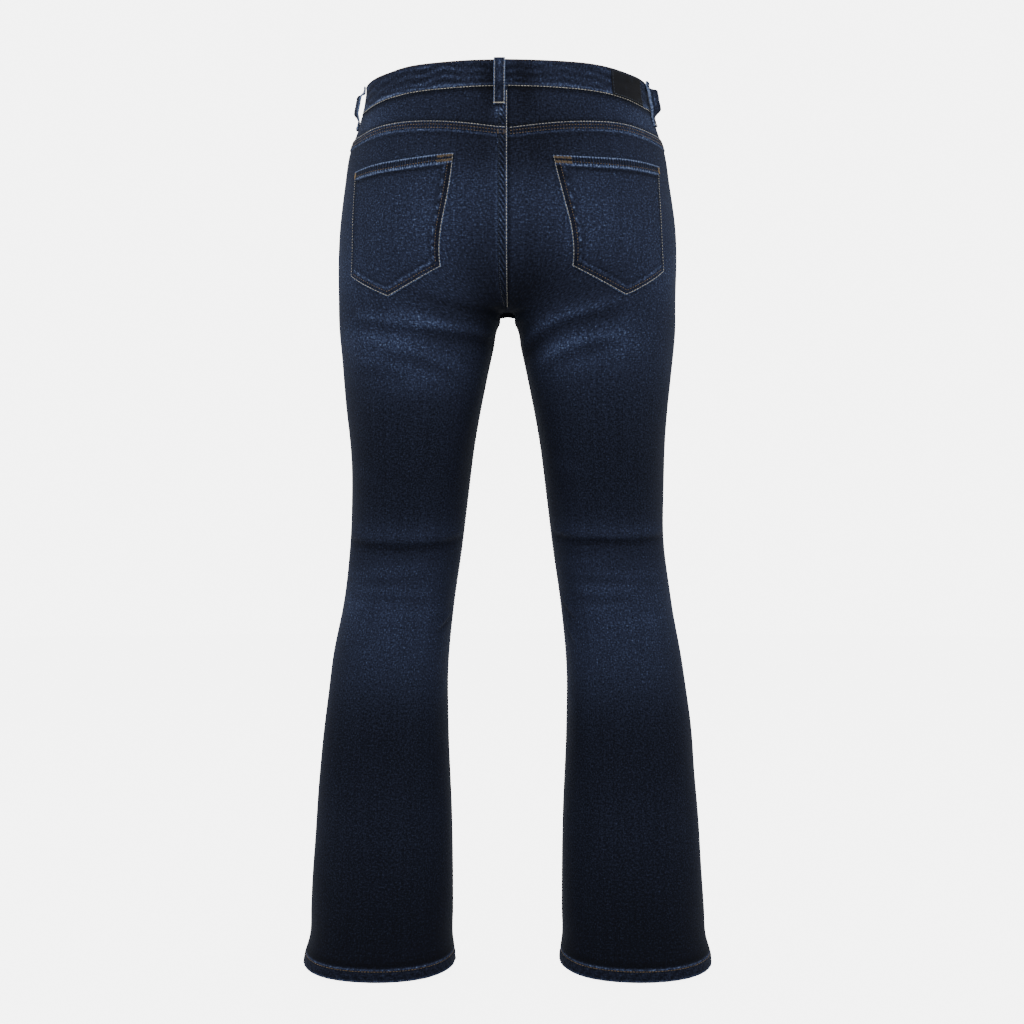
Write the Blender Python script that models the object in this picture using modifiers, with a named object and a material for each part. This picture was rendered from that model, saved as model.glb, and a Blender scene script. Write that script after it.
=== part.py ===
"""Bootcut jeans, filled out as if worn and built panel by panel.

Metres, +Z up. The front faces -Y and the wearer's left is +X. The origin is the middle of the waist
opening, half way up the waistband at the sides.

A place on the cloth is a pair (u, z). u runs round one half of the body: 0 at the centre front, 0.5
at the side seam and 1 at the centre back. Below the fork 0 and 1 meet at the inseam. z is the height.
Each half is worked out on the wearer's left, and side = -1 turns it over to the right.
"""
import math

import bpy
import numpy as np

OBJECT = "bootcut_jeans"

# One layer of denim, the two layers of the waistband and the hem, and the gap at a seam.
CLOTH = 0.0012
DOUBLED = 0.0024
GAP = 0.0003
HEM_DEPTH = 0.014

# The fork: its height, how high over it the centre seams start to turn under, the radius of the turn
# into each leg, and how far down and round the leg the trunk's shape fades out.
FORK = -0.249
RISE = 0.095
FORK_ROUND = 0.009
FORK_BLEND = 0.100
FORK_SPREAD = 0.030
TRUNK_SQUARENESS = 0.035
LEG_SQUARENESS = 0.030

# The scooped front pocket opening, in u at the waist, and the cloth behind it.
SCOOP_WIDTH = 0.17
FACING_OVERLAP = 0.03
FACING_INSET = 0.0026
FACING_DEPTH = 0.020
POCKET_CLOTH = 0.0013

LOOP_WIDTH = 0.013
LOOP_CLOTH = 0.0016
LOOP_STAND_OFF = 0.0066
UNDERLAP_INSET = DOUBLED + GAP
PATCH_CLOTH = 0.0011
BUTTON_U = 0.0233
BUTTON_SIDES = 28
ZIP_END = -0.135
ZIP_CLOTH = 0.0010
ZIP_CHANNEL = 0.0041
ZIP_ROWS = 6
SLIDER_THICKNESS = 0.0018
UNDER_FRONT = CLOTH + 2 * GAP

# Cells of the grids across each panel, and rows between the lines over the fork.
FRONT_CELLS = (6, 6)
BACK_CELLS = (4, 3, 4, 3)
FACING_CELLS = 6
FACING_ROWS = 5
YOKE_ROWS = 2
SCOOP_ROWS = 6
HIP_ROWS = 5
POCKET_ROWS = 6
FORK_ROWS = 5
FOLD_SAMPLES = 25
FOLD_PEAK = math.sqrt(2 * math.e)
SHARP_EDGE = math.radians(40)

TINY = 1e-5


def table(columns, *rows):
    """Rows of numbers under named columns."""
    return {name: np.array(values, float) for name, values in zip(columns.split(), zip(*rows))}


# Horizontal sections of the trunk: half the width, and the depths at the centre front and back.
TRUNK = table(
    "z width front back",
    (0.040, 0.1640, -0.094, 0.090),
    (0.000, 0.1665, -0.101, 0.095),
    (-0.035, 0.1745, -0.109, 0.103),
    (-0.060, 0.1825, -0.113, 0.112),
    (-0.100, 0.1880, -0.116, 0.125),
    (-0.150, 0.1942, -0.116, 0.134),
    (-0.190, 0.1957, -0.112, 0.135),
    (-0.249, 0.1957, -0.104, 0.126))

# Horizontal sections of a leg: its inner and outer edges, and its front and back.
LEG = table(
    "z inner outer front back",
    (-0.190, -0.0060, 0.1957, -0.108, 0.132),
    (-0.249, 0.0000, 0.1957, -0.103, 0.119),
    (-0.262, 0.0100, 0.1952, -0.101, 0.115),
    (-0.291, 0.0170, 0.1927, -0.099, 0.107),
    (-0.326, 0.0246, 0.1902, -0.096, 0.101),
    (-0.397, 0.0380, 0.1843, -0.090, 0.090),
    (-0.467, 0.0470, 0.1820, -0.083, 0.076),
    (-0.520, 0.0535, 0.1840, -0.077, 0.064),
    (-0.590, 0.0632, 0.1913, -0.067, 0.070),
    (-0.660, 0.0695, 0.2033, -0.059, 0.076),
    (-0.730, 0.0693, 0.2130, -0.057, 0.077),
    (-0.835, 0.0653, 0.2224, -0.060, 0.074),
    (-0.941, 0.0642, 0.2290, -0.064, 0.073),
    (-0.976, 0.0644, 0.2312, -0.066, 0.073),
    (-0.994, 0.0618, 0.2362, -0.069, 0.075),
    (-1.020, 0.0600, 0.2385, -0.071, 0.076))

# Heights of the waistband's two edges and of the yoke seam, round one half.
SEAMS = table(
    "u top waist yoke",
    (0.00, 0.0045, -0.0285, -0.0740),
    (0.25, 0.0070, -0.0255, -0.0700),
    (0.50, 0.0135, -0.0195, -0.0600),
    (0.62, 0.0167, -0.0188, -0.0568),
    (0.70, 0.0200, -0.0147, -0.0525),
    (0.80, 0.0260, -0.0079, -0.0485),
    (0.90, 0.0293, -0.0037, -0.0506),
    (1.00, 0.0303, -0.0025, -0.0585))

# The hem's edge round one leg.
HEM = table(
    "u z",
    (0.00, -1.0035),
    (0.25, -0.9940),
    (0.50, -1.0050),
    (0.75, -1.0155),
    (1.00, -1.0035))

# Lines across the back panel: u of the columns under the pocket's sides and point, and the heights at
# the side seam, at those columns and at the centre back.
BACK = table(
    "u_outer u_point u_inner z_side z_outer z_point z_inner z_centre",
    (0.636, 0.775, 0.915, -0.0940, -0.0905, -0.0862, -0.0820, -0.0800),
    (0.643, 0.729, 0.878, -0.2140, -0.2105, -0.2380, -0.2050, -0.2050),
    (0.640, 0.740, 0.870, -0.2700, -0.2720, -0.2720, -0.2620, -0.2490),
    (0.630, 0.750, 0.870, -0.3000, -0.3000, -0.3000, -0.3000, -0.3000))
POCKET_TOP, POCKET_BOTTOM = 0, 1
WAIST_KEYS = (0.5, 0.645, 0.770, 0.915, 1.0)

# Lines across the front panel: heights at the centre front, the middle of the panel and the side seam.
FRONT = table(
    "z_centre z_middle z_side",
    (-0.1000, -0.0940, -0.0850),
    (-0.2050, -0.2120, -0.2140),
    (-0.2490, -0.2680, -0.2700),
    (-0.3000, -0.3000, -0.3000))
FRONT_KEYS = (0.0, 0.25, 0.5)
SCOOP_END = 0

# Level lines down the leg, with the number of grid rows below each.
LEVELS = table(
    "z rows",
    (-0.300, 7),
    (-0.470, 9),
    (-0.600, 9))

# Gathered folds: soft ridges with a trough under each, from start to end. side 0 is both legs.
FOLDS = table(
    "side u_start z_start u_end z_end sag width height",
    (1, 0.735, -0.268, 0.930, -0.306, 0.006, 0.012, 0.0030),
    (-1, 0.955, -0.304, 0.790, -0.243, 0.003, 0.012, 0.0032),
    (-1, 0.860, -0.302, 0.740, -0.290, 0.004, 0.011, 0.0016),
    (1, 0.660, -0.316, 0.790, -0.324, 0.003, 0.012, 0.0018),
    (1, 0.540, -0.506, 0.930, -0.504, -0.006, 0.011, 0.0042),
    (-1, 0.950, -0.506, 0.560, -0.506, -0.005, 0.011, 0.0042),
    (1, 0.520, -0.556, 0.800, -0.552, -0.004, 0.012, 0.0026),
    (-1, 0.860, -0.572, 0.620, -0.570, -0.003, 0.012, 0.0024),
    (1, 0.600, -0.575, 0.860, -0.590, -0.003, 0.012, 0.0018),
    (1, 0.900, -0.598, 1.080, -0.570, 0.002, 0.010, 0.0026),
    (-1, 0.905, -0.585, 0.990, -0.625, 0.000, 0.010, 0.0022),
    (0, 0.060, -0.515, 0.440, -0.520, 0.004, 0.012, 0.0030),
    (0, 0.120, -0.575, 0.400, -0.565, 0.004, 0.012, 0.0022),
    (0, 0.060, -0.245, 0.260, -0.205, -0.006, 0.011, 0.0024),
    (0, 0.055, -0.262, 0.280, -0.268, 0.006, 0.011, 0.0026))


def curve(rows, column, at, key):
    """Smooth curve through one column of a table, read at values of a key column that rises or falls."""
    sign = 1.0 if rows[key][-1] > rows[key][0] else -1.0
    x, y = sign * rows[key], rows[column]
    width = np.diff(x)
    slope = np.diff(y) / width
    middle = (width[1:] * slope[:-1] + width[:-1] * slope[1:]) / (width[1:] + width[:-1])
    tangent = np.concatenate([slope[:1], middle, slope[-1:]])
    place = np.clip(sign * np.asarray(at, float), x[0], x[-1])
    k = np.clip(np.searchsorted(x, place, side="right") - 1, 0, len(x) - 2)
    s = (place - x[k]) / width[k]
    value = (1 + 2 * s) * (1 - s) ** 2 * y[k] + s * s * (3 - 2 * s) * y[k + 1]
    return value + width[k] * s * (1 - s) * ((1 - s) * tangent[k] - s * tangent[k + 1])


def rounded(angle, squareness):
    """Cosine and sine of an angle, drawn out at the diagonals for a section between oval and square."""
    across = (1 + squareness) * np.cos(angle) - squareness * np.cos(3 * angle)
    along = (1 + squareness) * np.sin(angle) + squareness * np.sin(3 * angle)
    return across, along


def ring(angle, squareness, low_x, high_x, front, back):
    """Point of a horizontal section between two x and two y limits."""
    across, along = rounded(angle, squareness)
    x = (low_x + high_x) / 2 + (high_x - low_x) / 2 * across
    y = (front + back) / 2 + (back - front) / 2 * along
    return x, y


def inner_edge(drop):
    """How far the leg's inner edge stands from the centre plane at a depth under the fork."""
    turn = 1 - np.clip(drop / FORK_ROUND, 0, 1)
    straight = curve(LEG, "inner", FORK - drop, "z") - FORK_ROUND
    return FORK_ROUND * np.sqrt(1 - turn ** 2) + np.clip(straight, 0, None)


def surface(u, z):
    """Outer face of the wearer's left half, before its folds."""
    u, z = np.broadcast_arrays(np.asarray(u, float), np.asarray(z, float))
    away = np.sin(math.pi * u) ** 2
    width, front, back = (curve(TRUNK, name, z, "z") for name in ("width", "front", "back"))
    trunk_x, trunk_y = ring(math.pi * (u - 0.5), TRUNK_SQUARENESS, -width, width, front, back)

    drop = FORK - z
    eased = (drop + np.sqrt(drop ** 2 + (FORK_SPREAD * away) ** 2)) / 2
    outer, front, back = (curve(LEG, name, z, "z") for name in ("outer", "front", "back"))
    leg_x, leg_y = ring(math.pi * (1 + 2 * u), LEG_SQUARENESS, inner_edge(eased), outer, front, back)

    height = 1 - np.clip(1 + drop / RISE, 0, None) ** 2
    opening = np.sqrt((height + np.sqrt(height ** 2 + away ** 2)) / 2)
    opening = opening / np.sqrt((1 + np.sqrt(1 + away ** 2)) / 2)
    below = np.clip(drop / FORK_BLEND, 0, 1)
    opening = opening * (1 - below ** 2 * (3 - 2 * below))
    x = opening * trunk_x + (1 - opening) * leg_x
    y = opening * trunk_y + (1 - opening) * leg_y
    return np.stack([x, y, z], axis=-1)


def outward(u, z):
    """Offset directions of the surface: unit normals, kept in the centre plane along the centre seams."""
    u, z = np.broadcast_arrays(np.asarray(u, float), np.asarray(z, float))
    across = surface(np.minimum(u + TINY, 1), z) - surface(np.maximum(u - TINY, 0), z)
    down = surface(u, z - TINY) - surface(u, z + TINY)
    normal = np.cross(down, across)
    normal /= np.linalg.norm(normal, axis=-1, keepdims=True)
    centre = ((u == 0) | (u == 1)) & (z > FORK - TINY)
    flat = normal * [0, 1, 1]
    length = np.linalg.norm(flat, axis=-1, keepdims=True)
    even = flat / length / np.maximum(length, 0.5)
    normal = np.where(centre[..., None], even, normal)
    fork = centre & (z < FORK + TINY)
    return np.where(fork[..., None], [0.0, 0.0, -1.0], normal)


def relief(points, side):
    """Height of the folds at points on the wearer's left half, for one side's folds."""
    total = np.zeros(points.shape[:-1])
    for k in range(len(FOLDS["side"])):
        fold = {name: values[k] for name, values in FOLDS.items()}
        if fold["side"] * side < 0:
            continue
        s = np.linspace(0, 1, FOLD_SAMPLES)
        u = fold["u_start"] + (fold["u_end"] - fold["u_start"]) * s
        z = fold["z_start"] + (fold["z_end"] - fold["z_start"]) * s + 4 * fold["sag"] * s * (1 - s)
        crest = surface(u % 1.0, z)
        apart = points[..., None, :] - crest
        distance = np.linalg.norm(apart, axis=-1)
        nearest = distance.argmin(axis=-1)
        reach = np.take_along_axis(distance, nearest[..., None], -1)[..., 0] / fold["width"]
        above = np.take_along_axis(apart[..., 2], nearest[..., None], -1)[..., 0]
        ends = np.sin(math.pi * s[nearest]) ** 0.5
        total += fold["height"] * FOLD_PEAK * np.sign(above) * reach * np.exp(-reach ** 2) * ends
    return total


def spread(keys, cells):
    """Even steps between key values."""
    steps = [np.linspace(a, b, n, endpoint=False) for a, b, n in zip(keys, keys[1:], cells)]
    return np.append(np.concatenate(steps), keys[-1])


def crowded(t, u, crowd):
    """Fractions of the way between two lines, with rows crowded towards the fork at the edges."""
    edge = np.abs(2 * u - 1) ** 4
    return (1 - edge) * t + edge * crowd(t)


def even(t):
    return t


def towards_fork(t):
    start = math.asin(1 + (FORK - BACK["z_centre"][POCKET_BOTTOM]) / RISE)
    angle = start + (math.pi / 2 - start) * t
    return (math.sin(angle) - math.sin(start)) / (1 - math.sin(start))


def from_fork(t):
    return t ** 2.2


def between(first, second, rows, crowd=even):
    """Grid rows from one line to the next, without the last."""
    grid = []
    for t in np.arange(rows) / rows:
        u = first[0] + (second[0] - first[0]) * t
        part = crowded(t, u, crowd)
        grid.append((u, first[1] + (second[1] - first[1]) * part))
    return grid


def leg_rows(u):
    """Grid rows down the leg to the hem, which ends in its turned-up band."""
    lines = [(u, np.full_like(u, z)) for z in LEVELS["z"]]
    hem = curve(HEM, "z", u, "u")
    lines.append((u, hem + HEM_DEPTH))
    rows = []
    for first, second, count in zip(lines, lines[1:], LEVELS["rows"].astype(int)):
        rows += between(first, second, count)
    return rows + [lines[-1], (u, hem + HEM_DEPTH - CLOTH), (u, hem)]


def hem_thickness(rows):
    """Thickness of each grid row: one layer, and two in the hem."""
    return np.array([CLOTH] * (rows - 2) + [DOUBLED] * 2)[:, None, None]


def back_line(k):
    """Columns and heights of one line across the back panel."""
    keys = [0.5, BACK["u_outer"][k], BACK["u_point"][k], BACK["u_inner"][k], 1.0]
    names = ("z_side", "z_outer", "z_point", "z_inner", "z_centre")
    u = spread(keys, BACK_CELLS)
    return u, np.interp(u, keys, [BACK[name][k] for name in names])


def yoke_line(shift):
    keys = [0.5, BACK["u_outer"][POCKET_TOP], BACK["u_point"][POCKET_TOP], BACK["u_inner"][POCKET_TOP], 1.0]
    u = spread(keys, BACK_CELLS)
    return u, curve(SEAMS, "yoke", u, "u") + shift


def waist_line(u, shift):
    return u, curve(SEAMS, "waist", u, "u") + shift


def back_grid():
    """Rows of the back panel from the yoke seam to the hem, and the pocket's block within them."""
    pocket_top, pocket_bottom, fork, thigh = (back_line(k) for k in range(4))
    rows = between(yoke_line(-GAP / 2), pocket_top, 1)
    first = len(rows)
    rows += between(pocket_top, pocket_bottom, POCKET_ROWS)
    last = len(rows)
    rows += between(pocket_bottom, fork, FORK_ROWS, towards_fork)
    rows += between(fork, thigh, FORK_ROWS, from_fork)
    rows += leg_rows(thigh[0])
    columns = slice(BACK_CELLS[0], sum(BACK_CELLS[:3]) + 1)
    return np.array(rows), (slice(first, last + 1), columns)


def front_line(k):
    u = spread(FRONT_KEYS, FRONT_CELLS)
    names = ("z_centre", "z_middle", "z_side")
    return u, np.interp(u, FRONT_KEYS, [FRONT[name][k] for name in names])


def scoop_rows():
    """Front rows that end on the pocket's scooped edge, from the waist to the side seam."""
    part = spread((0.0, 1.0), (sum(FRONT_CELLS),))
    low_u, low_z = front_line(SCOOP_END)
    rows = []
    for t in np.arange(SCOOP_ROWS) / SCOOP_ROWS:
        turn = math.pi / 2 * t
        u = part * (0.5 - SCOOP_WIDTH * math.cos(turn))
        high_z = waist_line(u, -GAP / 2)[1]
        low = np.interp(u, low_u, low_z)
        down = (1 - part ** 2) * t + part ** 2 * math.sin(turn)
        rows.append((u, high_z + (low - high_z) * down))
    return rows


def front_grid():
    """Rows of the front panel from the waist to the hem."""
    scoop_end, hip, fork, thigh = (front_line(k) for k in range(4))
    rows = scoop_rows()
    rows += between(scoop_end, hip, HIP_ROWS)
    rows += between(hip, fork, FORK_ROWS, towards_fork)
    rows += between(fork, thigh, FORK_ROWS, from_fork)
    rows += leg_rows(thigh[0])
    return np.array(rows)


def place(u, z, side, depth=0.0):
    """Points and offset directions on one side of the garment, sunk under its outer face by a depth."""
    base = surface(u, z)
    normal = outward(u, z)
    points = base + normal * (relief(base, side)[..., None] - depth)
    mirror = np.array([side, 1.0, 1.0])
    return points * mirror, normal * mirror


def part_seams(points, u, z, side):
    """Draws the first and last columns in by half a gap, and keeps clear of the centre plane."""
    points = points.copy()
    mirror = np.array([side, 1.0, 1.0])
    for column, step in ((0, TINY), (-1, -TINY)):
        inside = surface(u[:, column] + step, z[:, column]) - surface(u[:, column], z[:, column])
        inside /= np.linalg.norm(inside, axis=-1, keepdims=True)
        points[:, column] += inside * mirror * GAP / 2
    points[..., 0] = side * np.maximum(side * points[..., 0], GAP / 2)
    return points


def grid_faces(rows, columns, turned):
    """Two triangles for each cell of a grid of points, with the same diagonal in every layer."""
    index = np.arange(rows * columns).reshape(rows, columns)
    a, b, c, d = (index[:-1, :-1], index[:-1, 1:], index[1:, 1:], index[1:, :-1])
    faces = [face for pair in ((a, b, c), (a, c, d)) for face in np.stack(pair, -1).reshape(-1, 3).tolist()]
    return [face[::-1] for face in faces] if turned else faces


def border(rows, columns):
    """The points round the edge of a grid, in order."""
    index = np.arange(rows * columns).reshape(rows, columns)
    return np.concatenate([index[0, :-1], index[:-1, -1], index[-1, :0:-1], index[:0:-1, 0]])


def add_object(name, points, faces, material, collection):
    mesh = bpy.data.meshes.new(name)
    mesh.from_pydata([tuple(point) for point in points], [], faces)
    mesh.materials.append(material)
    mesh.update()
    piece = bpy.data.objects.new(name, mesh)
    collection.objects.link(piece)
    mesh.shade_smooth()
    mesh.set_sharp_from_angle(angle=SHARP_EDGE)
    return piece


def wall(name, outer, inner, side, material, collection):
    """Closed wall between two grids of points, which its neighbours share along their seams."""
    rows, columns = outer.shape[:2]
    count = rows * columns
    front = grid_faces(rows, columns, side > 0)
    back = [[point + count for point in face[::-1]] for face in front]
    rim = border(rows, columns)
    faces = front + back
    for a, b in zip(rim, np.roll(rim, -1)):
        strip = [(a, b, b + count), (a, b + count, a + count)]
        faces += [face if side > 0 else face[::-1] for face in strip]
    faces = [[int(point) for point in face] for face in faces]
    points = np.concatenate([outer.reshape(-1, 3), inner.reshape(-1, 3)])
    return add_object(name, points, faces, material, collection)


def shell(name, points, side, thickness, offset, material, collection):
    """Open grid of points thickened to one side: offset 1 outwards, -1 inwards."""
    rows, columns = points.shape[:2]
    piece = add_object(name, points.reshape(-1, 3), grid_faces(rows, columns, side > 0), material, collection)
    solidify = piece.modifiers.new("thickness", "SOLIDIFY")
    solidify.thickness = thickness
    solidify.offset = offset
    solidify.use_even_offset = True
    return piece


def panel(name, side, grid, thickness, material, collection):
    """One panel of the trunk or leg as a wall, and its outer points and offset directions."""
    u, z = grid[:, 0], grid[:, 1]
    points, normals = place(u, z, side)
    outer = part_seams(points, u, z, side)
    inner = outer - normals * thickness
    inner[..., 0] = side * np.maximum(side * inner[..., 0], GAP / 2)
    wall(name, outer, inner, side, material, collection)
    return outer, normals


def side_name(name, side):
    return name + ("_left" if side > 0 else "_right")


def legs(denim, collection):
    """Front and back panels with the patch pocket that lies on each back."""
    for side in (1, -1):
        front = front_grid()
        panel(side_name("front", side), side, front, hem_thickness(len(front)), denim, collection)
        back, pocket = back_grid()
        outer, normals = panel(side_name("back", side), side, back, hem_thickness(len(back)), denim, collection)
        seat = outer[pocket] + normals[pocket] * GAP
        shell(side_name("back_pocket", side), seat, side, POCKET_CLOTH, 1, denim, collection)


def yokes(denim, collection):
    """Back yokes, between the waistband and the yoke seam."""
    for side in (1, -1):
        waist = waist_line(spread(WAIST_KEYS, BACK_CELLS), -GAP / 2)
        seam = yoke_line(GAP / 2)
        grid = np.array(between(waist, seam, YOKE_ROWS) + [seam])
        panel(side_name("yoke", side), side, grid, CLOTH, denim, collection)


def pocket_facings(denim, collection):
    """Cloth behind each scooped front pocket opening, up to the side seam."""
    columns = np.linspace(0.5 - SCOOP_WIDTH - FACING_OVERLAP, 0.5, FACING_CELLS + 1)
    low_u, low_z = front_line(SCOOP_END)
    for side in (1, -1):
        top = waist_line(columns, -2 * GAP)
        bottom = (columns, np.interp(columns, low_u, low_z) - FACING_DEPTH)
        grid = np.array(between(top, bottom, FACING_ROWS) + [bottom])
        u, z = grid[:, 0], grid[:, 1]
        points = part_seams(place(u, z, side, FACING_INSET)[0], u, z, side)
        shell(side_name("pocket_facing", side), points, side, CLOTH, -1, denim, collection)


def band_stations():
    """Places round the waistband: side, u and inset, from the wearer's left end to the underlap."""
    front = np.concatenate([
        spread((0.0, 0.5 - SCOOP_WIDTH), (sum(FRONT_CELLS),)),
        np.linspace(0.5 - SCOOP_WIDTH, 0.5, FACING_CELLS + 1)[1:]])
    back = spread(WAIST_KEYS, BACK_CELLS)[1:]
    left = [(1, u, 0.0) for u in np.concatenate([front, back])]
    right = [(-1, u, 0.0) for u in np.concatenate([front[1:], back[:-1]])[::-1]]
    underlap = [(-1, 0.026, 0.0), (-1, 0.002, UNDERLAP_INSET), (1, 0.026, UNDERLAP_INSET),
                (1, 0.054, UNDERLAP_INSET)]
    return left + right + underlap


def waistband(denim, collection):
    """Doubled band round the waist: the wearer's left end lies over the right end's underlap."""
    outer, inner = [], []
    for side, u, inset in band_stations():
        top, waist = (float(curve(SEAMS, name, u, "u")) for name in ("top", "waist"))
        z = np.array([top, (top + waist) / 2, waist + GAP / 2])
        points, normals = place(np.full(3, u), z, side, inset)
        if u == 0:
            points[:, 0] = GAP / 2
        outer.append(points)
        inner.append(points - normals * DOUBLED)
    outer = np.array(outer).transpose(1, 0, 2)
    inner = np.array(inner).transpose(1, 0, 2)
    wall("waistband", outer, inner, 1, denim, collection)
    return outer


def patch(band, leather, collection):
    """Bare patch on the waistband's right back, made from the band's own points."""
    stations = [(side, round(float(u), 4)) for side, u, inset in band_stations()]
    first, last = stations.index((-1, WAIST_KEYS[2])), stations.index((-1, WAIST_KEYS[1]))
    block = band[:, first:last + 1]
    edges = ((0.90, 0.10, 0.0), (0.0, 1.0, 0.0), (0.0, 0.05, 0.95))
    rows = np.array([sum(part * row for part, row in zip(parts, block)) for parts in edges])
    u = np.array([station[1] for station in stations[first:last + 1]])
    normals = outward(u, np.zeros_like(u)) * [-1, 1, 1]
    shell("patch", rows + normals * GAP, 1, PATCH_CLOTH, 1, leather, collection)


def belt_loop(name, side, u, foot, denim, collection):
    """Strap sewn down at its two ends, standing off the waistband between them."""
    top, waist = (float(curve(SEAMS, edge, u, "u")) for edge in ("top", "waist"))
    path = table(
        "z off",
        (top + 0.0010, GAP),
        (top - 0.0050, GAP),
        (top - 0.0070, 0.30 * LOOP_STAND_OFF),
        (top - 0.0100, 0.85 * LOOP_STAND_OFF),
        (top - 0.0135, LOOP_STAND_OFF),
        (waist + 0.0060, LOOP_STAND_OFF),
        (waist + 0.0010, 0.90 * LOOP_STAND_OFF),
        (waist - 0.0030, 0.35 * LOOP_STAND_OFF),
        (waist - 0.0060, GAP),
        (waist - foot, GAP))
    across = surface(min(u + TINY, 1.0), waist) - surface(u - TINY, waist)
    across = across / np.linalg.norm(across) * LOOP_WIDTH / 2
    normal = outward(u, waist)
    middle = surface(np.full_like(path["z"], u), path["z"]) + normal * path["off"][:, None]
    strap = np.stack([middle - across, middle + across], axis=1) * [side, 1, 1]
    shell(name, strap, side, LOOP_CLOTH, 1, denim, collection)


def belt_loops(denim, collection):
    loops = (("belt_loop_back", 1, 0.985, 0.0205), ("belt_loop_side_left", 1, 0.515, 0.016),
             ("belt_loop_side_right", -1, 0.585, 0.016), ("belt_loop_front_left", 1, 0.135, 0.016),
             ("belt_loop_front_right", -1, 0.135, 0.016))
    for name, side, u, foot in loops:
        belt_loop(name, side, u, foot, denim, collection)


def zip_pieces(tape, metal, collection):
    """Closed zip behind the centre front: a tape with a channel, and the slider lying in it."""
    along = np.linspace(float(curve(SEAMS, "waist", 0.0, "u")) - 3 * GAP, ZIP_END, ZIP_ROWS + 1)
    columns = table(
        "side u depth",
        (-1, 0.025, UNDER_FRONT),
        (-1, 0.015, UNDER_FRONT),
        (-1, 0.008, ZIP_CHANNEL),
        (1, 0.008, ZIP_CHANNEL),
        (1, 0.015, UNDER_FRONT),
        (1, 0.025, UNDER_FRONT))
    grid = [place(u, along, side, depth)[0] for side, u, depth in zip(*columns.values())]
    shell("zip", np.array(grid), 1, ZIP_CLOTH, 1, tape, collection)

    outline = table(
        "z half",
        (-0.0340, 0.0065),
        (-0.0430, 0.0065),
        (-0.0440, 0.0040),
        (-0.0620, 0.0040))
    edges = [place(outline["half"], outline["z"], side, UNDER_FRONT)[0] for side in (-1, 1)]
    shell("zip_slider", np.array(edges), 1, SLIDER_THICKNESS, 1, metal, collection)


def button(metal, collection):
    """Turned shank button: a dished cap with a rolled rim, on the end of the waistband."""
    profile = table(
        "r z",
        (0.0000, 0.0029),
        (0.0052, 0.0030),
        (0.0062, 0.0037),
        (0.0076, 0.0037),
        (0.0085, 0.0029),
        (0.0083, 0.0020),
        (0.0070, 0.0013),
        (0.0040, 0.0011),
        (0.0038, 0.0000),
        (0.0000, 0.0000))
    points = [(r, 0.0, z) for r, z in zip(profile["r"], profile["z"])]
    mesh = bpy.data.meshes.new("button")
    mesh.from_pydata(points, [(k, k + 1) for k in range(len(points) - 1)], [])
    mesh.materials.append(metal)
    piece = bpy.data.objects.new("button", mesh)
    collection.objects.link(piece)
    turn = piece.modifiers.new("turned", "SCREW")
    turn.steps = turn.render_steps = BUTTON_SIDES
    turn.use_merge_vertices = True
    turn.merge_threshold = TINY
    turn.use_smooth_shade = True

    height = (curve(SEAMS, "top", BUTTON_U, "u") + curve(SEAMS, "waist", BUTTON_U, "u")) / 2
    points, normals = place(BUTTON_U, height, 1)
    facing = normals / np.linalg.norm(normals)
    piece.location = points + facing * GAP
    piece.rotation_euler = (math.acos(facing[2]), 0.0, math.atan2(facing[1], facing[0]) + math.pi / 2)


def finish(name, colour, roughness, metallic=0.0):
    material = bpy.data.materials.new(name)
    material.use_nodes = True
    shader = material.node_tree.nodes["Principled BSDF"]
    shader.inputs["Base Color"].default_value = (*colour, 1.0)
    shader.inputs["Roughness"].default_value = roughness
    shader.inputs["Metallic"].default_value = metallic
    return material


def main():
    for old in list(bpy.data.objects):
        bpy.data.objects.remove(old, do_unlink=True)
    collection = bpy.data.collections.new(OBJECT)
    bpy.context.scene.collection.children.link(collection)
    denim = finish("indigo_denim", (0.0144, 0.0194, 0.0423), 0.85)
    leather = finish("dark_leather", (0.0060, 0.0070, 0.0116), 0.60)
    metal = finish("aged_brass", (0.150, 0.095, 0.045), 0.40, 1.0)
    tape = finish("zip_tape", (0.0110, 0.0130, 0.0250), 0.90)

    legs(denim, collection)
    yokes(denim, collection)
    pocket_facings(denim, collection)
    band = waistband(denim, collection)
    patch(band, leather, collection)
    belt_loops(denim, collection)
    zip_pieces(tape, metal, collection)
    button(metal, collection)


main()
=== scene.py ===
"""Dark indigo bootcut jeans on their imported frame: cloth, sewing, patch, metal, light and camera.

Metres, +Z up. The front faces -Y and the wearer's left is +X. A place on the cloth is a pair (u, z): u runs
round one half of the trunk, 0 at the centre front, 0.5 at the side seam and 1 at the centre back, and below
the fork 0 and 1 meet at the inseam. Each half is worked out on the wearer's left, and side = -1 turns it
over.
"""
import math

import bpy
import numpy as np
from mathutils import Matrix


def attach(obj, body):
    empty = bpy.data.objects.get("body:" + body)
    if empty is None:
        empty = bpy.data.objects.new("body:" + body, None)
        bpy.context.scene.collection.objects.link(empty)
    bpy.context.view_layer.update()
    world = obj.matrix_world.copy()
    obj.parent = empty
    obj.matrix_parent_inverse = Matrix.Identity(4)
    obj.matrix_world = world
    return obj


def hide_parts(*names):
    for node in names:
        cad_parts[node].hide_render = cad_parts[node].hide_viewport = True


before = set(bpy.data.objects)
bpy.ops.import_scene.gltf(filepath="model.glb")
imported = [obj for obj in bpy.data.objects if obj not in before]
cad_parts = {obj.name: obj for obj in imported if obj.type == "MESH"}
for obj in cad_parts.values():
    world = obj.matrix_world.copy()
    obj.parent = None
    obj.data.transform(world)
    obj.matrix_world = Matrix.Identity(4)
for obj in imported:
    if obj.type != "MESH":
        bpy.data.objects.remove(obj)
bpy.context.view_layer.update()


# Back leg panels: one piece of heavy cotton twill each, cut from the yoke seam to the hem. The cloth is
# indigo denim, 1.2 mm thick, folded up twice at the hem, and it is joined to its neighbours by felled seams.
CLOTH = 0.0012
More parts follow.
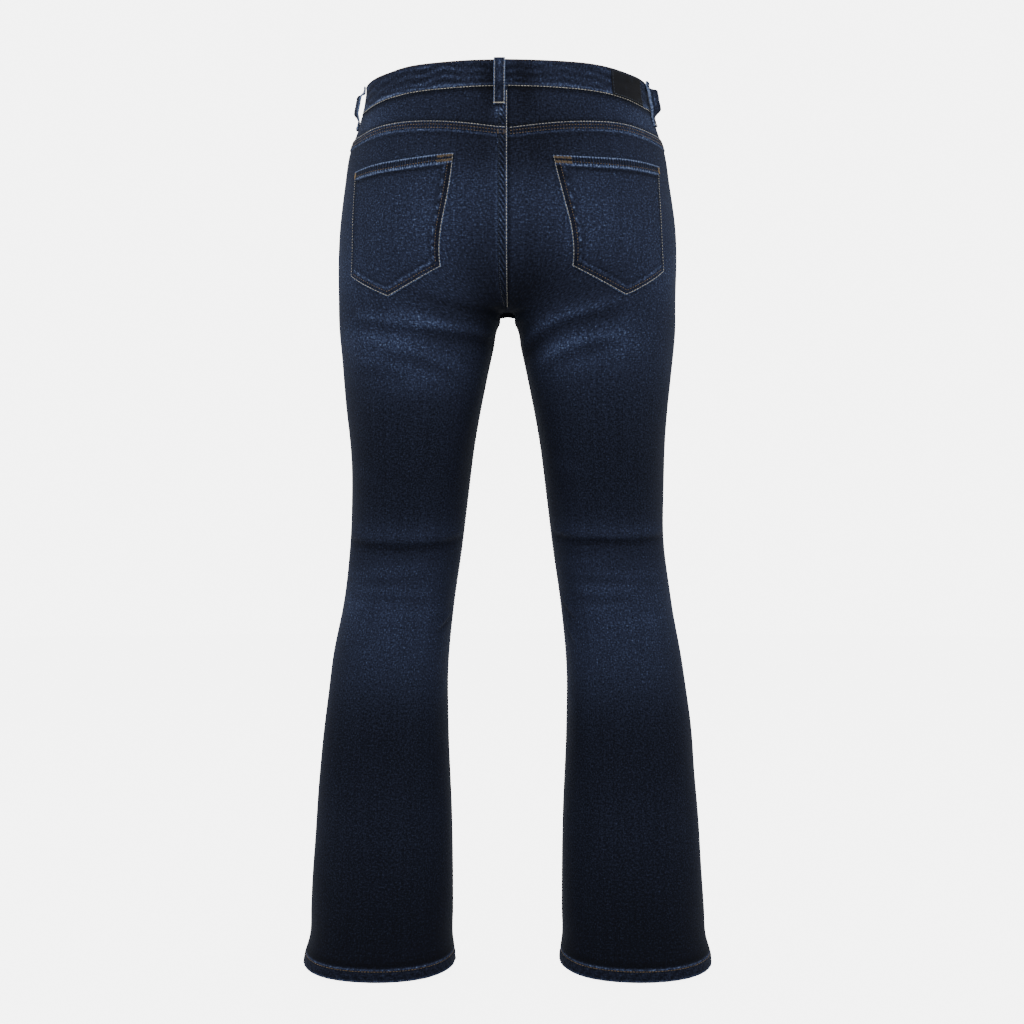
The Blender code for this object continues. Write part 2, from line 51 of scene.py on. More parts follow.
DOUBLED = 0.0024
GAP = 0.0002
HEM_DEPTH = 0.014
FORK = -0.249
RISE = 0.095
FORK_ROUND = 0.009
FORK_DEPTH = 0.0045
FORK_BLEND = 0.100
FORK_SPREAD = 0.030
TINY = 1e-5


def table(columns, *rows):
    """Rows of numbers under named columns."""
    return {name: np.array(values, float) for name, values in zip(columns.split(), zip(*rows))}


# Horizontal sections of the trunk and of a leg, the seams' heights round one half, and the hem's edge.
TRUNK = table(
    "z width front back",
    (0.040, 0.1640, -0.094, 0.090),
    (0.000, 0.1665, -0.101, 0.095),
    (-0.035, 0.1745, -0.109, 0.103),
    (-0.060, 0.1825, -0.113, 0.112),
    (-0.100, 0.1880, -0.116, 0.125),
    (-0.150, 0.1942, -0.116, 0.134),
    (-0.190, 0.1957, -0.112, 0.135),
    (-0.249, 0.1957, -0.104, 0.126))
LEG = table(
    "z inner outer front back",
    (-0.190, -0.0060, 0.1957, -0.108, 0.132),
    (-0.249, 0.0000, 0.1957, -0.103, 0.119),
    (-0.262, 0.0100, 0.1952, -0.101, 0.115),
    (-0.291, 0.0170, 0.1927, -0.099, 0.107),
    (-0.326, 0.0246, 0.1902, -0.096, 0.101),
    (-0.397, 0.0380, 0.1843, -0.090, 0.090),
    (-0.467, 0.0470, 0.1820, -0.083, 0.076),
    (-0.520, 0.0535, 0.1840, -0.077, 0.064),
    (-0.590, 0.0632, 0.1913, -0.067, 0.070),
    (-0.660, 0.0695, 0.2033, -0.059, 0.076),
    (-0.730, 0.0693, 0.2130, -0.057, 0.077),
    (-0.835, 0.0653, 0.2224, -0.060, 0.074),
    (-0.941, 0.0642, 0.2290, -0.064, 0.073),
    (-0.976, 0.0644, 0.2312, -0.066, 0.073),
    (-0.994, 0.0618, 0.2362, -0.069, 0.075),
    (-1.020, 0.0600, 0.2385, -0.071, 0.076))
SEAMS = table(
    "u top waist yoke",
    (0.00, 0.0045, -0.0285, -0.0740),
    (0.25, 0.0070, -0.0255, -0.0700),
    (0.50, 0.0135, -0.0195, -0.0612),
    (0.62, 0.0167, -0.0188, -0.0582),
    (0.70, 0.0200, -0.0147, -0.0539),
    (0.80, 0.0260, -0.0079, -0.0499),
    (0.90, 0.0293, -0.0037, -0.0520),
    (1.00, 0.0303, -0.0025, -0.0599))
HEM = table(
    "u z",
    (0.00, -1.0035),
    (0.25, -0.9940),
    (0.50, -1.0050),
    (0.75, -1.0155),
    (1.00, -1.0035))

# Gathered folds, a soft ridge over a trough, and slighter creases, which are a ridge or a trough alone.
# side 0 is both legs.
FOLDS = table(
    "side u_start z_start u_end z_end sag width height",
    (1, 0.640, -0.262, 0.985, -0.281, -0.006, 0.009, 0.0022),
    (1, 0.690, -0.300, 0.870, -0.328, 0.004, 0.009, 0.0012),
    (-1, 0.975, -0.303, 0.740, -0.247, 0.003, 0.009, 0.0024),
    (-1, 0.900, -0.318, 0.720, -0.284, 0.004, 0.009, 0.0016),
    (1, 0.620, -0.316, 0.760, -0.326, 0.003, 0.010, 0.0010),
    (1, 0.525, -0.5050, 0.965, -0.5055, -0.0120, 0.0068, 0.0023),
    (-1, 0.965, -0.5025, 0.530, -0.5020, -0.0090, 0.0058, 0.0023),
    (1, 0.520, -0.5540, 0.820, -0.5520, -0.004, 0.0060, 0.0009),
    (-1, 0.900, -0.5500, 0.600, -0.5560, -0.003, 0.0060, 0.0007),
    (1, 0.600, -0.5720, 0.860, -0.5760, -0.003, 0.0060, 0.0007),
    (-1, 0.880, -0.5720, 0.700, -0.5740, -0.003, 0.0070, 0.0008),
    (1, 0.872, -0.6180, 0.984, -0.5930, 0.001, 0.0045, 0.0014),
    (-1, 0.984, -0.5740, 0.880, -0.6040, 0.000, 0.0045, 0.0014),
    (-1, 0.975, -0.5960, 0.900, -0.6340, 0.000, 0.0040, 0.0011),
    (0, 0.060, -0.515, 0.440, -0.520, 0.004, 0.009, 0.0022),
    (0, 0.120, -0.575, 0.400, -0.565, 0.004, 0.009, 0.0014),
    (0, 0.060, -0.245, 0.260, -0.205, -0.006, 0.010, 0.0022),
    (0, 0.055, -0.262, 0.280, -0.268, 0.006, 0.010, 0.0024))
CREASES = table(
    "side u_start z_start u_end z_end sag width height",
    (1, 0.775, -0.2300, 0.985, -0.2420, -0.0160, 0.0060, -0.0012),
    (1, 0.735, -0.2530, 0.830, -0.2710, 0.0000, 0.0050, 0.0010),
    (1, 0.560, -0.4980, 0.950, -0.4960, -0.006, 0.010, 0.0008),
    (-1, 0.950, -0.4945, 0.560, -0.4965, -0.005, 0.010, 0.0008),
    (1, 0.545, -0.5660, 0.700, -0.5640, 0.002, 0.0040, 0.0004),
    (1, 0.640, -0.5440, 0.880, -0.5380, -0.002, 0.0045, 0.0004),
    (1, 0.560, -0.5830, 0.780, -0.5860, -0.002, 0.0045, 0.0004),
    (1, 0.700, -0.5980, 0.930, -0.5900, -0.002, 0.0050, 0.0004),
    (-1, 0.940, -0.5410, 0.720, -0.5370, 0.003, 0.0050, 0.0004),
    (-1, 0.870, -0.5640, 0.660, -0.5620, -0.002, 0.0045, 0.0004),
    (-1, 0.860, -0.5900, 0.700, -0.5840, -0.003, 0.0050, 0.0004),
    (-1, 0.800, -0.6060, 0.600, -0.6000, -0.003, 0.0060, 0.0004),
    (1, 0.900, -0.700, 0.985, -0.664, 0.000, 0.008, 0.0006),
    (-1, 0.910, -0.712, 0.985, -0.672, 0.000, 0.008, 0.0006),
    (1, 0.560, -0.430, 0.680, -0.446, 0.003, 0.009, 0.0005),
    (-1, 0.900, -0.424, 0.790, -0.440, 0.003, 0.009, 0.0005),
    (0, 0.050, -0.228, 0.200, -0.170, -0.005, 0.007, 0.0009),
    (0, 0.040, -0.285, 0.230, -0.310, 0.005, 0.008, 0.0008),
    (0, 0.100, -0.535, 0.400, -0.545, 0.003, 0.007, 0.0007),
    (0, 0.060, -0.600, 0.260, -0.612, 0.003, 0.008, 0.0006),
    (0, 0.300, -0.490, 0.460, -0.480, 0.003, 0.008, 0.0006))
# Slow unevenness of cloth that hangs by itself: waves across and down, in turns per unit and per metre.
SLACK = table(
    "across down turn height",
    (3.0, 2.1, 0.3, 0.00050),
    (5.0, -3.7, 1.9, 0.00035),
    (2.0, 7.3, 4.1, 0.00035),
    (7.0, 5.9, 2.6, 0.00018),
    (4.0, -11.0, 0.9, 0.00016))


def curve(rows, column, at, key):
    """Smooth curve through one column of a table, read at values of a key column that rises or falls."""
    sign = 1.0 if rows[key][-1] > rows[key][0] else -1.0
    x, y = sign * rows[key], rows[column]
    width = np.diff(x)
    slope = np.diff(y) / width
    middle = (width[1:] * slope[:-1] + width[:-1] * slope[1:]) / (width[1:] + width[:-1])
    tangent = np.concatenate([slope[:1], middle, slope[-1:]])
    place = np.clip(sign * np.asarray(at, float), x[0], x[-1])
    k = np.clip(np.searchsorted(x, place, side="right") - 1, 0, len(x) - 2)
    s = (place - x[k]) / width[k]
    value = (1 + 2 * s) * (1 - s) ** 2 * y[k] + s * s * (3 - 2 * s) * y[k + 1]
    return value + width[k] * s * (1 - s) * ((1 - s) * tangent[k] - s * tangent[k + 1])


def ring(angle, squareness, low_x, high_x, front, back):
    """Point of a horizontal section, between an oval and a square, inside two x and two y limits."""
    across = (1 + squareness) * np.cos(angle) - squareness * np.cos(3 * angle)
    along = (1 + squareness) * np.sin(angle) + squareness * np.sin(3 * angle)
    x = (low_x + high_x) / 2 + (high_x - low_x) / 2 * across
    y = (front + back) / 2 + (back - front) / 2 * along
    return x, y


def inner_edge(drop):
    """How far the leg's inner edge stands from the centre plane at a depth under the fork."""
    turn = 1 - np.clip(drop / FORK_DEPTH, 0, 1)
    straight = curve(LEG, "inner", FORK - drop, "z") - FORK_ROUND
    return FORK_ROUND * np.sqrt(1 - turn ** 2) + np.clip(straight, 0, None)


def surface(u, z):
    """Outer face of the wearer's left half, before folds and sewing: the same shape as the solids."""
    u, z = np.broadcast_arrays(np.asarray(u, float), np.asarray(z, float))
    away = np.sin(math.pi * u) ** 2
    width, front, back = (curve(TRUNK, name, z, "z") for name in ("width", "front", "back"))
    trunk_x, trunk_y = ring(math.pi * (u - 0.5), 0.035, -width, width, front, back)

    drop = FORK - z
    eased = (drop + np.sqrt(drop ** 2 + (FORK_SPREAD * away) ** 2)) / 2
    outer, front, back = (curve(LEG, name, z, "z") for name in ("outer", "front", "back"))
    leg_x, leg_y = ring(math.pi * (1 + 2 * u), 0.030, inner_edge(eased), outer, front, back)

    height = 1 - np.clip(1 + drop / RISE, 0, None) ** 2
    opening = np.sqrt((height + np.sqrt(height ** 2 + away ** 2)) / 2)
    opening = opening / np.sqrt((1 + np.sqrt(1 + away ** 2)) / 2)
    below = np.clip(drop / FORK_BLEND, 0, 1)
    opening = opening * (1 - below ** 2 * (3 - 2 * below))
    x = opening * trunk_x + (1 - opening) * leg_x
    y = opening * trunk_y + (1 - opening) * leg_y
    return np.stack([x, y, z], axis=-1)


def outward(u, z):
    """Directions out of the cloth, kept in the centre plane along its seams, and metres per unit of u."""
    u, z = np.broadcast_arrays(np.asarray(u, float), np.asarray(z, float))
    high = np.where(u <= 1, np.minimum(u + TINY, 1), u + TINY)
    low = np.where(u >= 0, np.maximum(u - TINY, 0), u - TINY)
    across = surface(high, z) - surface(low, z)
    stretch = np.linalg.norm(across, axis=-1) / (high - low)
    down = surface(u, z - TINY) - surface(u, z + TINY)
    normal = np.cross(down, across)
    normal /= np.linalg.norm(normal, axis=-1, keepdims=True)
    centre = ((u == 0) | (u == 1)) & (z > FORK - TINY)
    flat = normal * [0, 1, 1]
    length = np.linalg.norm(flat, axis=-1, keepdims=True)
    normal = np.where(centre[..., None], flat / length / np.maximum(length, 0.5), normal)
    fork = centre & (z < FORK + TINY)
    return np.where(fork[..., None], [0.0, 0.0, -1.0], normal), stretch


def lift_off(base, normal, lift, side):
    """Points lifted off a face of the wearer's left half, and their directions, turned over to a side."""
    mirror = np.array([side, 1.0, 1.0])
    return (base + normal * lift[..., None]) * mirror, normal * mirror


def gathered(points, side, rows, trough):
    """Height of soft ridges at points on the wearer's left half, each with a trough under it or none."""
    total = np.zeros(points.shape[:-1])
    s = np.linspace(0, 1, 60)
    for k in range(len(rows["side"])):
        row = {name: values[k] for name, values in rows.items()}
        if row["side"] * side < 0:
            continue
        u = row["u_start"] + (row["u_end"] - row["u_start"]) * s
        z = row["z_start"] + (row["z_end"] - row["z_start"]) * s + 4 * row["sag"] * s * (1 - s)
        crest = surface(u % 1.0, z)
        reach_z = 3 * row["width"]
        near = points[..., 2] > crest[:, 2].min() - reach_z
        near &= points[..., 2] < crest[:, 2].max() + reach_z
        apart = points[near][:, None, :] - crest
        distance = np.linalg.norm(apart, axis=-1)
        nearest = distance.argmin(axis=-1)
        pick = np.arange(len(nearest))
        reach = distance[pick, nearest] / row["width"]
        ends = np.sin(math.pi * s[nearest]) ** 0.5
        if trough:
            above = np.sign(apart[pick, nearest, 2])
            profile = math.sqrt(2 * math.e) * above * reach * np.exp(-reach ** 2)
        else:
            profile = np.exp(-reach ** 2)
        total[near] += row["height"] * profile * ends
    return total


def smooth(x):
    """An eased step from 0 to 1."""
    x = np.clip(x, 0, 1)
    return x * x * (3 - 2 * x)


def strip(x, low, high, edge):
    """1 between two places and 0 outside, with soft edges."""
    return smooth((x - low) / edge) * smooth((high - x) / edge)


def ridge(x, at, width):
    """1 at a place, falling to 0 on both sides."""
    return np.exp(-((x - at) / width) ** 2)


def puckers(run, pitch, start):
    """Uneven little gathers along a sewn edge, from -1 to 1."""
    wander = run + pitch * (0.25 * np.sin(2 * math.pi * run / (5.3 * pitch) + start)
                            + 0.18 * np.sin(2 * math.pi * run / (2.7 * pitch) + 2 * start))
    strength = 0.75 + 0.25 * np.sin(2 * math.pi * run / (7.1 * pitch) + 3 * start)
    return np.sin(2 * math.pi * wander / pitch) * strength


def slack(u, z, side):
    """Slow waves of cloth that hangs by itself, held flat at the seams in the centre and between the legs."""
    held = smooth(np.minimum(np.abs(u), np.abs(1 - u)) / 0.10)
    waves = [height * np.sin(2 * math.pi * (across * u + down * z) + turn * (1 + 0.3 * side))
             for across, down, turn, height in zip(*SLACK.values())]
    return held * sum(waves)


class Sewing:
    """What seams do to cloth: how proud it stands, how rubbed it is and how much shade is painted on it, how
    far the nearest turned edge is, and how strongly and at which turn the cloth ropes along that edge."""

    def __init__(self, shape):
        self.proud, self.rub, self.roped, self.turns = (np.zeros(shape) for _ in range(4))
        self.edge = np.full(shape, 0.05)

    def turned(self, where, distance, roped, turns):
        """Marks the places nearer to this turned edge than to any before it."""
        near = where & (distance > -0.0022) & (distance < 0.017) & (np.abs(distance) < np.abs(self.edge))
        for kept, values in ((self.edge, distance), (self.roped, roped), (self.turns, turns)):
            kept[near] = np.broadcast_to(values, near.shape)[near]


# Widths of the felled bands, the height of the hem's row, and how far apart the cloth ropes along each.
YOKE_BAND = 0.0095
YOKE_ROPE = 0.0031
BACK_BAND = 0.0104
BACK_ROPE = 0.0076
INSEAM_BAND = 0.0090
INSEAM_ROPE = 0.0085
HEM_ROW = 0.0125
HEM_ROPE = 0.0115


def sewn(u, z, side, stretch):
    """What the seams do to the panels, yokes and fronts."""
    run = 0.5 * u
    behind = u > 0.5
    back = behind * 1.0
    trunk = smooth((z - FORK) / 0.012)
    leg = 1 - trunk
    sewing = Sewing(z.shape)

    # Felled yoke seam: the band lies on the yoke, just over the seam.
    above = z - curve(SEAMS, "yoke", u, "u")
    fall = YOKE_BAND - above
    sewing.turned(behind, 0.82 * fall, 0.70 * strip(fall, 0.0008, 0.0100, 0.0012), run / YOKE_ROPE)
    sewing.proud += 0.0009 * back * strip(above, -0.0002, YOKE_BAND, 0.0010)
    sewing.proud -= 0.0005 * back * ridge(above, -0.0004, 0.0008)
    sewing.rub += 0.12 * back * strip(above, -0.0030, YOKE_BAND, 0.0015)
    # Painted shade on the yoke just above the band's turned edge.
    sewing.rub -= 0.10 * back * ridge(above, 0.0120, 0.0018)

    # Felled centre back seam: the band lies on the wearer's left, roped by the two rows through it.
    inward = (1 - u) * stretch
    if side > 0:
        between = strip(inward, 0.0020, BACK_BAND, 0.0022)
        sewing.turned(behind & (z > FORK) & (inward < 0.0118), 0.60 * inward, 1.5 * between,
                      (z - 1.6 * inward) / BACK_ROPE)
        sewing.proud += back * trunk * 0.0009 * strip(inward, 0.0001, 0.0100, 0.0012)
        sewing.rub += back * trunk * (0.12 * between + 0.14 * ridge(inward, 0.0115, 0.0012))
    else:
        # On the wearer's right, a groove and painted shade along the seam beside the lapped band.
        sewing.proud -= 0.0006 * back * trunk * ridge(inward, 0.0, 0.0012)
        sewing.rub -= 0.20 * back * trunk * ridge(inward, 0.0005, 0.0030)

    # Inseam, felled towards the front, and the side seam, pressed open.
    inward = u * stretch
    sewing.turned((u < 0.5) & (z < FORK), inward, 0.6 * strip(inward, 0.0006, INSEAM_BAND, 0.0013),
                  (z + 1.2 * inward) / INSEAM_ROPE)
    sewing.proud += (1 - back) * leg * 0.0007 * strip(inward, 0.0001, INSEAM_BAND, 0.0013)
    outer = np.abs(u - 0.5) * stretch
    pressed = 0.12 * ridge(outer, 0.0090, 0.0022) * (1 + 0.6 * puckers(z, 0.0130, 1.0))
    pressed = pressed - 0.18 * ridge(outer, 0.0, 0.0014)
    sewing.rub += pressed * smooth((-0.090 - z) / 0.060)
    sewing.proud += 0.00030 * strip(outer, 0.0004, 0.0130, 0.0030) - 0.0004 * ridge(outer, 0.0, 0.0010)

    # Centre front: the wearer's left front laps over the right.
    if side > 0:
        sewing.turned((u < 0.5) & (z > -0.236), inward, 0.0, 0.0)
        sewing.proud += 0.0007 * (1 - back) * trunk * strip(inward, -0.001, 0.0010, 0.0010)

    # Waist seam and hem.
    under = curve(SEAMS, "waist", u, "u") - z
    sewing.proud += 0.00022 * puckers(run, 0.0085, 3.0) * np.exp(-np.abs(under) / 0.006)
    sewing.proud -= 0.0005 * ridge(under, 0.0, 0.0011)
    # Painted shade on the cloth just under the waistband.
    sewing.rub -= 0.22 * ridge(under, 0.0006, 0.0032)
    rise = z - curve(HEM, "z", u, "u")
    slant = run + 0.9 * rise
    sewing.turned(rise < 0.024, rise * 0.60, 0.35 * strip(rise, -0.0010, 0.0130, 0.0016), slant / HEM_ROPE)
    sewing.proud += 0.00035 * strip(rise, -0.0030, 0.0140, 0.0016) * puckers(slant, HEM_ROPE, 1.3 + side)
    sewing.proud -= 0.0004 * ridge(rise, HEM_ROW, 0.0012)
    # The hem's band rubbed pale, with a little painted shade just above it.
    sewing.rub += 0.34 * strip(rise, -0.0020, HEM_ROW, 0.0020) - 0.06 * ridge(rise, 0.0190, 0.0030)
    sewing.rub += (0.46 + 0.16 * puckers(run, 0.0070, 2.0)) * ridge(rise, 0.0143, 0.0011)
    return sewing


def worn(u, z, side):
    """The worn cloth's outer face on the wearer's left half: base, outward, and what is sewn there."""
    u, z = np.broadcast_arrays(np.asarray(u, float), np.asarray(z, float))
    base = surface(u, z)
    normal, stretch = outward(u, z)
    folds = gathered(base, side, FOLDS, True)
    creases = gathered(base, side, CREASES, False)
    sewing = sewn(u, z, side, stretch)
    sewing.proud += folds + creases + slack(u, z, side)
    # The crests of folds and creases have rubbed pale, most above the knee, and the troughs have stayed dark;
    # the same tone also paints highlight on the crests and shade in the troughs.
    palest = np.where(z > -0.400, 0.0025, 0.0005)
    sewing.rub += 62 * np.clip(folds, -0.0035, palest) + 110 * creases
    return base, normal, sewing


def lay(u, z, side, lift=0.0):
    """Points and outward directions on one side of the jeans, lifted off the worn cloth."""
    base, normal, sewing = worn(u, z, side)
    return lift_off(base, normal, sewing.proud + lift, side)


# How pale the cloth is painted down the leg, and soft patches paler or darker, in metres. Both are partly the
# wash's own fade and partly painted light and shade. The darker band above the knee is painted shade, and so
# are the dark patches between the legs, under the seat, along the centre back seam and round the back belt
# loop. The pale strips just under the seat's folds paint light into the folds' troughs.
WASH_AND_SHADE = table(
    "z level",
    (0.040, 0.54),
    (-0.010, 0.52),
    (-0.060, 0.52),
    (-0.110, 0.58),
    (-0.180, 0.60),
    (-0.230, 0.56),
    (-0.270, 0.52),
    (-0.310, 0.52),
    (-0.360, 0.42),
    (-0.410, 0.36),
    (-0.450, 0.35),
    (-0.495, 0.41),
    (-0.520, 0.43),
    (-0.555, 0.53),
    (-0.610, 0.58),
    (-0.665, 0.53),
    (-0.715, 0.37),
    (-0.850, 0.34),
    (-0.940, 0.25),
    (-1.020, 0.18))
FADES_AND_SHADE = table(
    "side u z across along strength",
    (1, 0.760, -0.330, 0.050, 0.022, 0.14),
    (-1, 0.830, -0.312, 0.045, 0.018, 0.10),
    (0, 0.970, -0.268, 0.036, 0.050, -0.31),
    (0, 0.960, -0.390, 0.030, 0.070, -0.12),
    (1, 0.930, -0.262, 0.050, 0.016, -0.14),
    (-1, 0.880, -0.225, 0.060, 0.030, -0.14),
    (0, 0.880, -0.170, 0.030, 0.060, 0.05),
    (0, 0.955, -0.188, 0.028, 0.040, -0.10),
    (0, 0.955, -0.045, 0.045, 0.035, -0.09),
    (1, 0.620, -0.284, 0.050, 0.022, 0.12),
    (1, 0.730, -0.284, 0.035, 0.013, 0.16),
    (1, 0.600, -0.590, 0.025, 0.025, 0.07),
    (-1, 0.720, -0.286, 0.030, 0.022, 0.12),
    (-1, 0.840, -0.284, 0.024, 0.020, 0.10),
    (0, 0.660, -0.034, 0.055, 0.022, 0.15),
    (0, 0.620, -0.215, 0.050, 0.030, 0.07),
    (1, 0.960, -0.080, 0.024, 0.020, -0.10),
    (-1, 0.960, -0.085, 0.030, 0.026, -0.12),
    (0, 0.968, 0.004, 0.012, 0.034, -0.22),
    (-1, 0.930, -0.060, 0.060, 0.030, -0.06),
    (1, 0.986, -0.031, 0.006, 0.007, 0.36),
    (0, 0.930, -0.590, 0.040, 0.045, -0.08),
    (0, 0.590, -0.650, 0.035, 0.045, -0.08),
    (0, 0.250, -0.330, 0.070, 0.110, 0.12),
    (0, 0.250, -0.560, 0.060, 0.070, 0.14),
    (0, 0.040, -0.280, 0.035, 0.080, -0.18),
    (0, 0.480, -0.300, 0.040, 0.200, -0.04))


def faded_and_shaded(u, z, side):
    """How pale the cloth is painted at each place, from 0, dark, to 1, pale: the wash's fade together with
    painted shade.
    """
    level = curve(WASH_AND_SHADE, "level", z, "z")
    for spot_side, u_spot, z_spot, across, along, strength in zip(*FADES_AND_SHADE.values()):
        if spot_side * side < 0:
            continue
        round_leg = 0.5 * np.abs(u - u_spot)
        round_leg = np.where(z < FORK, np.minimum(round_leg, 0.5 - round_leg), round_leg)
        level = level + strength * np.exp(-(round_leg / across) ** 2 - ((z - z_spot) / along) ** 2)
    return level


def linear(colour):
    """sRGB hex to linear RGB, opaque."""
    parts = [int(colour[k:k + 2], 16) / 255 for k in (1, 3, 5)]
    return tuple(c / 12.92 if c <= 0.04045 else ((c + 0.055) / 1.055) ** 2.4 for c in parts) + (1.0,)


def new_material(name):
    """A material without a shader, which add() gives it."""
    material = bpy.data.materials.new(name)
    material.use_nodes = True
    material.node_tree.nodes.remove(material.node_tree.nodes["Principled BSDF"])
    return material


def add(material, kind, inputs=None, stops=None, **settings):
    """Adds a shader node to a material with its settings, links, values and colour stops."""
    tree = material.node_tree
    node = tree.nodes.new("ShaderNode" + kind)
    for name, value in settings.items():
        setattr(node, name, value)
    for socket, value in (inputs or {}).items():
        if isinstance(value, bpy.types.NodeSocket):
            tree.links.new(value, node.inputs[socket])
        else:
            node.inputs[socket].default_value = value
    if stops:
        elements = node.color_ramp.elements
        while len(elements) < len(stops):
            elements.new(0.5)
        for element, (place, colour) in zip(elements, stops):
            element.position = place
            element.color = linear(colour) if isinstance(colour, str) else (colour,) * 3 + (1.0,)
    if kind == "BsdfPrincipled":
        tree.links.new(node.outputs["BSDF"], tree.nodes["Material Output"].inputs["Surface"])
    return node


# Indigo denim: a warp-faced cotton twill. The eye sees near-black blue that has washed paler in patches, a
# fine uneven crosshatch of warp and weft, and a dry, slightly fuzzy face. The pale and dark patches it is
# given also hold painted shade. Along each turned edge the fold has rubbed pale, the doubled cloth inside it
# has stayed dark, and its far edge has rubbed pale again. The tone across the edge also paints shade just
# outside the fold and just beyond the far edge, and the tone from the seams paints shade in grooves and under
# edges. Real warp threads are 0.4 mm apart. They are drawn about four times as coarse, so that they show, and
# uneven yarn leaves faint streaks down the cloth.
indigo_denim = new_material("indigo_denim")
cloth_uv = add(indigo_denim, "UVMap", uv_map="cloth")
yarns = []
for scale, detail in (((680.0, 360.0, 1.0), 2.0), ((360.0, 640.0, 1.0), 2.0), ((340.0, 9.0, 1.0), 1.0)):
    place = add(indigo_denim, "Mapping", {"Vector": cloth_uv.outputs[0], "Scale": scale})
    yarns.append(add(indigo_denim, "TexNoise", {"Vector": place.outputs[0], "Scale": 1.0, "Detail": detail}))
warp, weft, slub = yarns
cloud = add(indigo_denim, "TexNoise", {"Vector": cloth_uv.outputs[0], "Scale": 60.0, "Detail": 3.0})
fade_and_shade, rub, edge, roped, turns = (add(indigo_denim, "Attribute", attribute_name=name)
                                 for name in ("fade_and_shade", "rub", "edge", "roped", "turns"))
from_edge = add(indigo_denim, "MapRange",
                {"Value": edge.outputs["Fac"], "From Min": -0.002, "From Max": 0.018})
# Tone across a turned edge: wear, and painted shade just outside the fold and beyond the band's far edge.
edge_wear_and_shade = add(indigo_denim, "ValToRGB", {"Fac": from_edge.outputs[0]}, stops=(
    (0.00, 0.50), (0.07, 0.34), (0.10, 0.74), (0.15, 0.62), (0.20, 0.34), (0.42, 0.38), (0.50, 0.64),
    (0.57, 0.66), (0.64, 0.44), (0.72, 0.44), (0.90, 0.50)))
wander = add(indigo_denim, "Math", {0: cloud.outputs["Fac"], 1: 0.9, 2: turns.outputs["Fac"]},
             operation="MULTIPLY_ADD")
angle = add(indigo_denim, "Math", {0: wander.outputs[0], 1: 2 * math.pi}, operation="MULTIPLY")
wave = add(indigo_denim, "Math", {0: angle.outputs[0]}, operation="SINE")
rope = add(indigo_denim, "Math", {0: wave.outputs[0], 1: roped.outputs["Fac"]}, operation="MULTIPLY")
tone = add(indigo_denim, "Math", {0: fade_and_shade.outputs["Fac"], 1: rub.outputs["Fac"]}, operation="ADD")
tone = add(indigo_denim, "Math", {0: rope.outputs[0], 1: 0.15, 2: tone.outputs[0]}, operation="MULTIPLY_ADD")
for pattern, share in ((edge_wear_and_shade.outputs["Color"], 1.05), (warp.outputs["Fac"], 0.84),
                       (weft.outputs["Fac"], 0.76), (slub.outputs["Fac"], 0.14),
                       (cloud.outputs["Fac"], 0.09)):
    level = add(indigo_denim, "Math", {0: pattern, 1: 0.5}, operation="SUBTRACT")
    tone = add(indigo_denim, "Math", {0: level.outputs[0], 1: share, 2: tone.outputs[0]},
               operation="MULTIPLY_ADD")
indigo = add(indigo_denim, "ValToRGB", {"Fac": tone.outputs[0]}, stops=(
    (0.00, "#07080F"), (0.15, "#090B14"), (0.30, "#0D101C"), (0.45, "#181C2B"), (0.60, "#1F2436"),
    (0.76, "#2F3750"), (0.90, "#475472"), (1.00, "#677594")))
threads = add(indigo_denim, "Math", {0: warp.outputs["Fac"], 1: weft.outputs["Fac"]}, operation="ADD")
height = add(indigo_denim, "Math", {0: threads.outputs[0], 1: 0.00016}, operation="MULTIPLY")
height = add(indigo_denim, "Math", {0: rope.outputs[0], 1: 0.00045, 2: height.outputs[0]},
             operation="MULTIPLY_ADD")
weave = add(indigo_denim, "Bump", {"Strength": 0.8, "Distance": 1.0, "Height": height.outputs[0]})
add(indigo_denim, "BsdfPrincipled", {
    "Base Color": indigo.outputs["Color"], "Roughness": 0.88, "Specular IOR Level": 0.10,
    "Sheen Weight": 0.05, "Sheen Roughness": 0.45, "Sheen Tint": linear("#9FB2D6"),
    "Normal": weave.outputs[0]})

# Inside of the same denim: the undyed weft shows, so it is a pale grey blue with dark flecks of warp.
denim_reverse = new_material("denim_reverse")
cloth_uv = add(denim_reverse, "UVMap", uv_map="cloth")
fleck_place = add(denim_reverse, "Mapping", {"Vector": cloth_uv.outputs[0], "Scale": (900.0, 700.0, 1.0)})
fleck = add(denim_reverse, "TexNoise", {"Vector": fleck_place.outputs[0], "Scale": 1.0, "Detail": 3.0})
flecks = add(denim_reverse, "ValToRGB", {"Fac": fleck.outputs["Fac"]}, stops=(
    (0.30, "#39435A"), (0.48, "#6B7486"), (0.62, "#9AA0AB")))
fleck_bump = add(denim_reverse, "Bump", {"Strength": 0.4, "Distance": 0.0002, "Height": fleck.outputs["Fac"]})
add(denim_reverse, "BsdfPrincipled", {
    "Base Color": flecks.outputs["Color"], "Roughness": 0.9, "Specular IOR Level": 0.2,
    "Sheen Weight": 0.15, "Sheen Tint": linear("#C8D0E0"), "Normal": fleck_bump.outputs[0]})


def fill_mesh(name, points, faces, materials, sharp):
    """One piece of the scene from its points and faces, shaded smooth up to an angle, on the root body."""
    mesh = bpy.data.meshes.new(name)
    mesh.from_pydata(points.tolist(), [], faces.tolist())
    for material in materials:
        mesh.materials.append(material)
    mesh.shade_smooth()
    if sharp:
        mesh.set_sharp_from_angle(angle=math.radians(sharp))
    piece = bpy.data.objects.new(name, mesh)
    bpy.context.scene.collection.objects.link(piece)
    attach(piece, "root")
    return piece


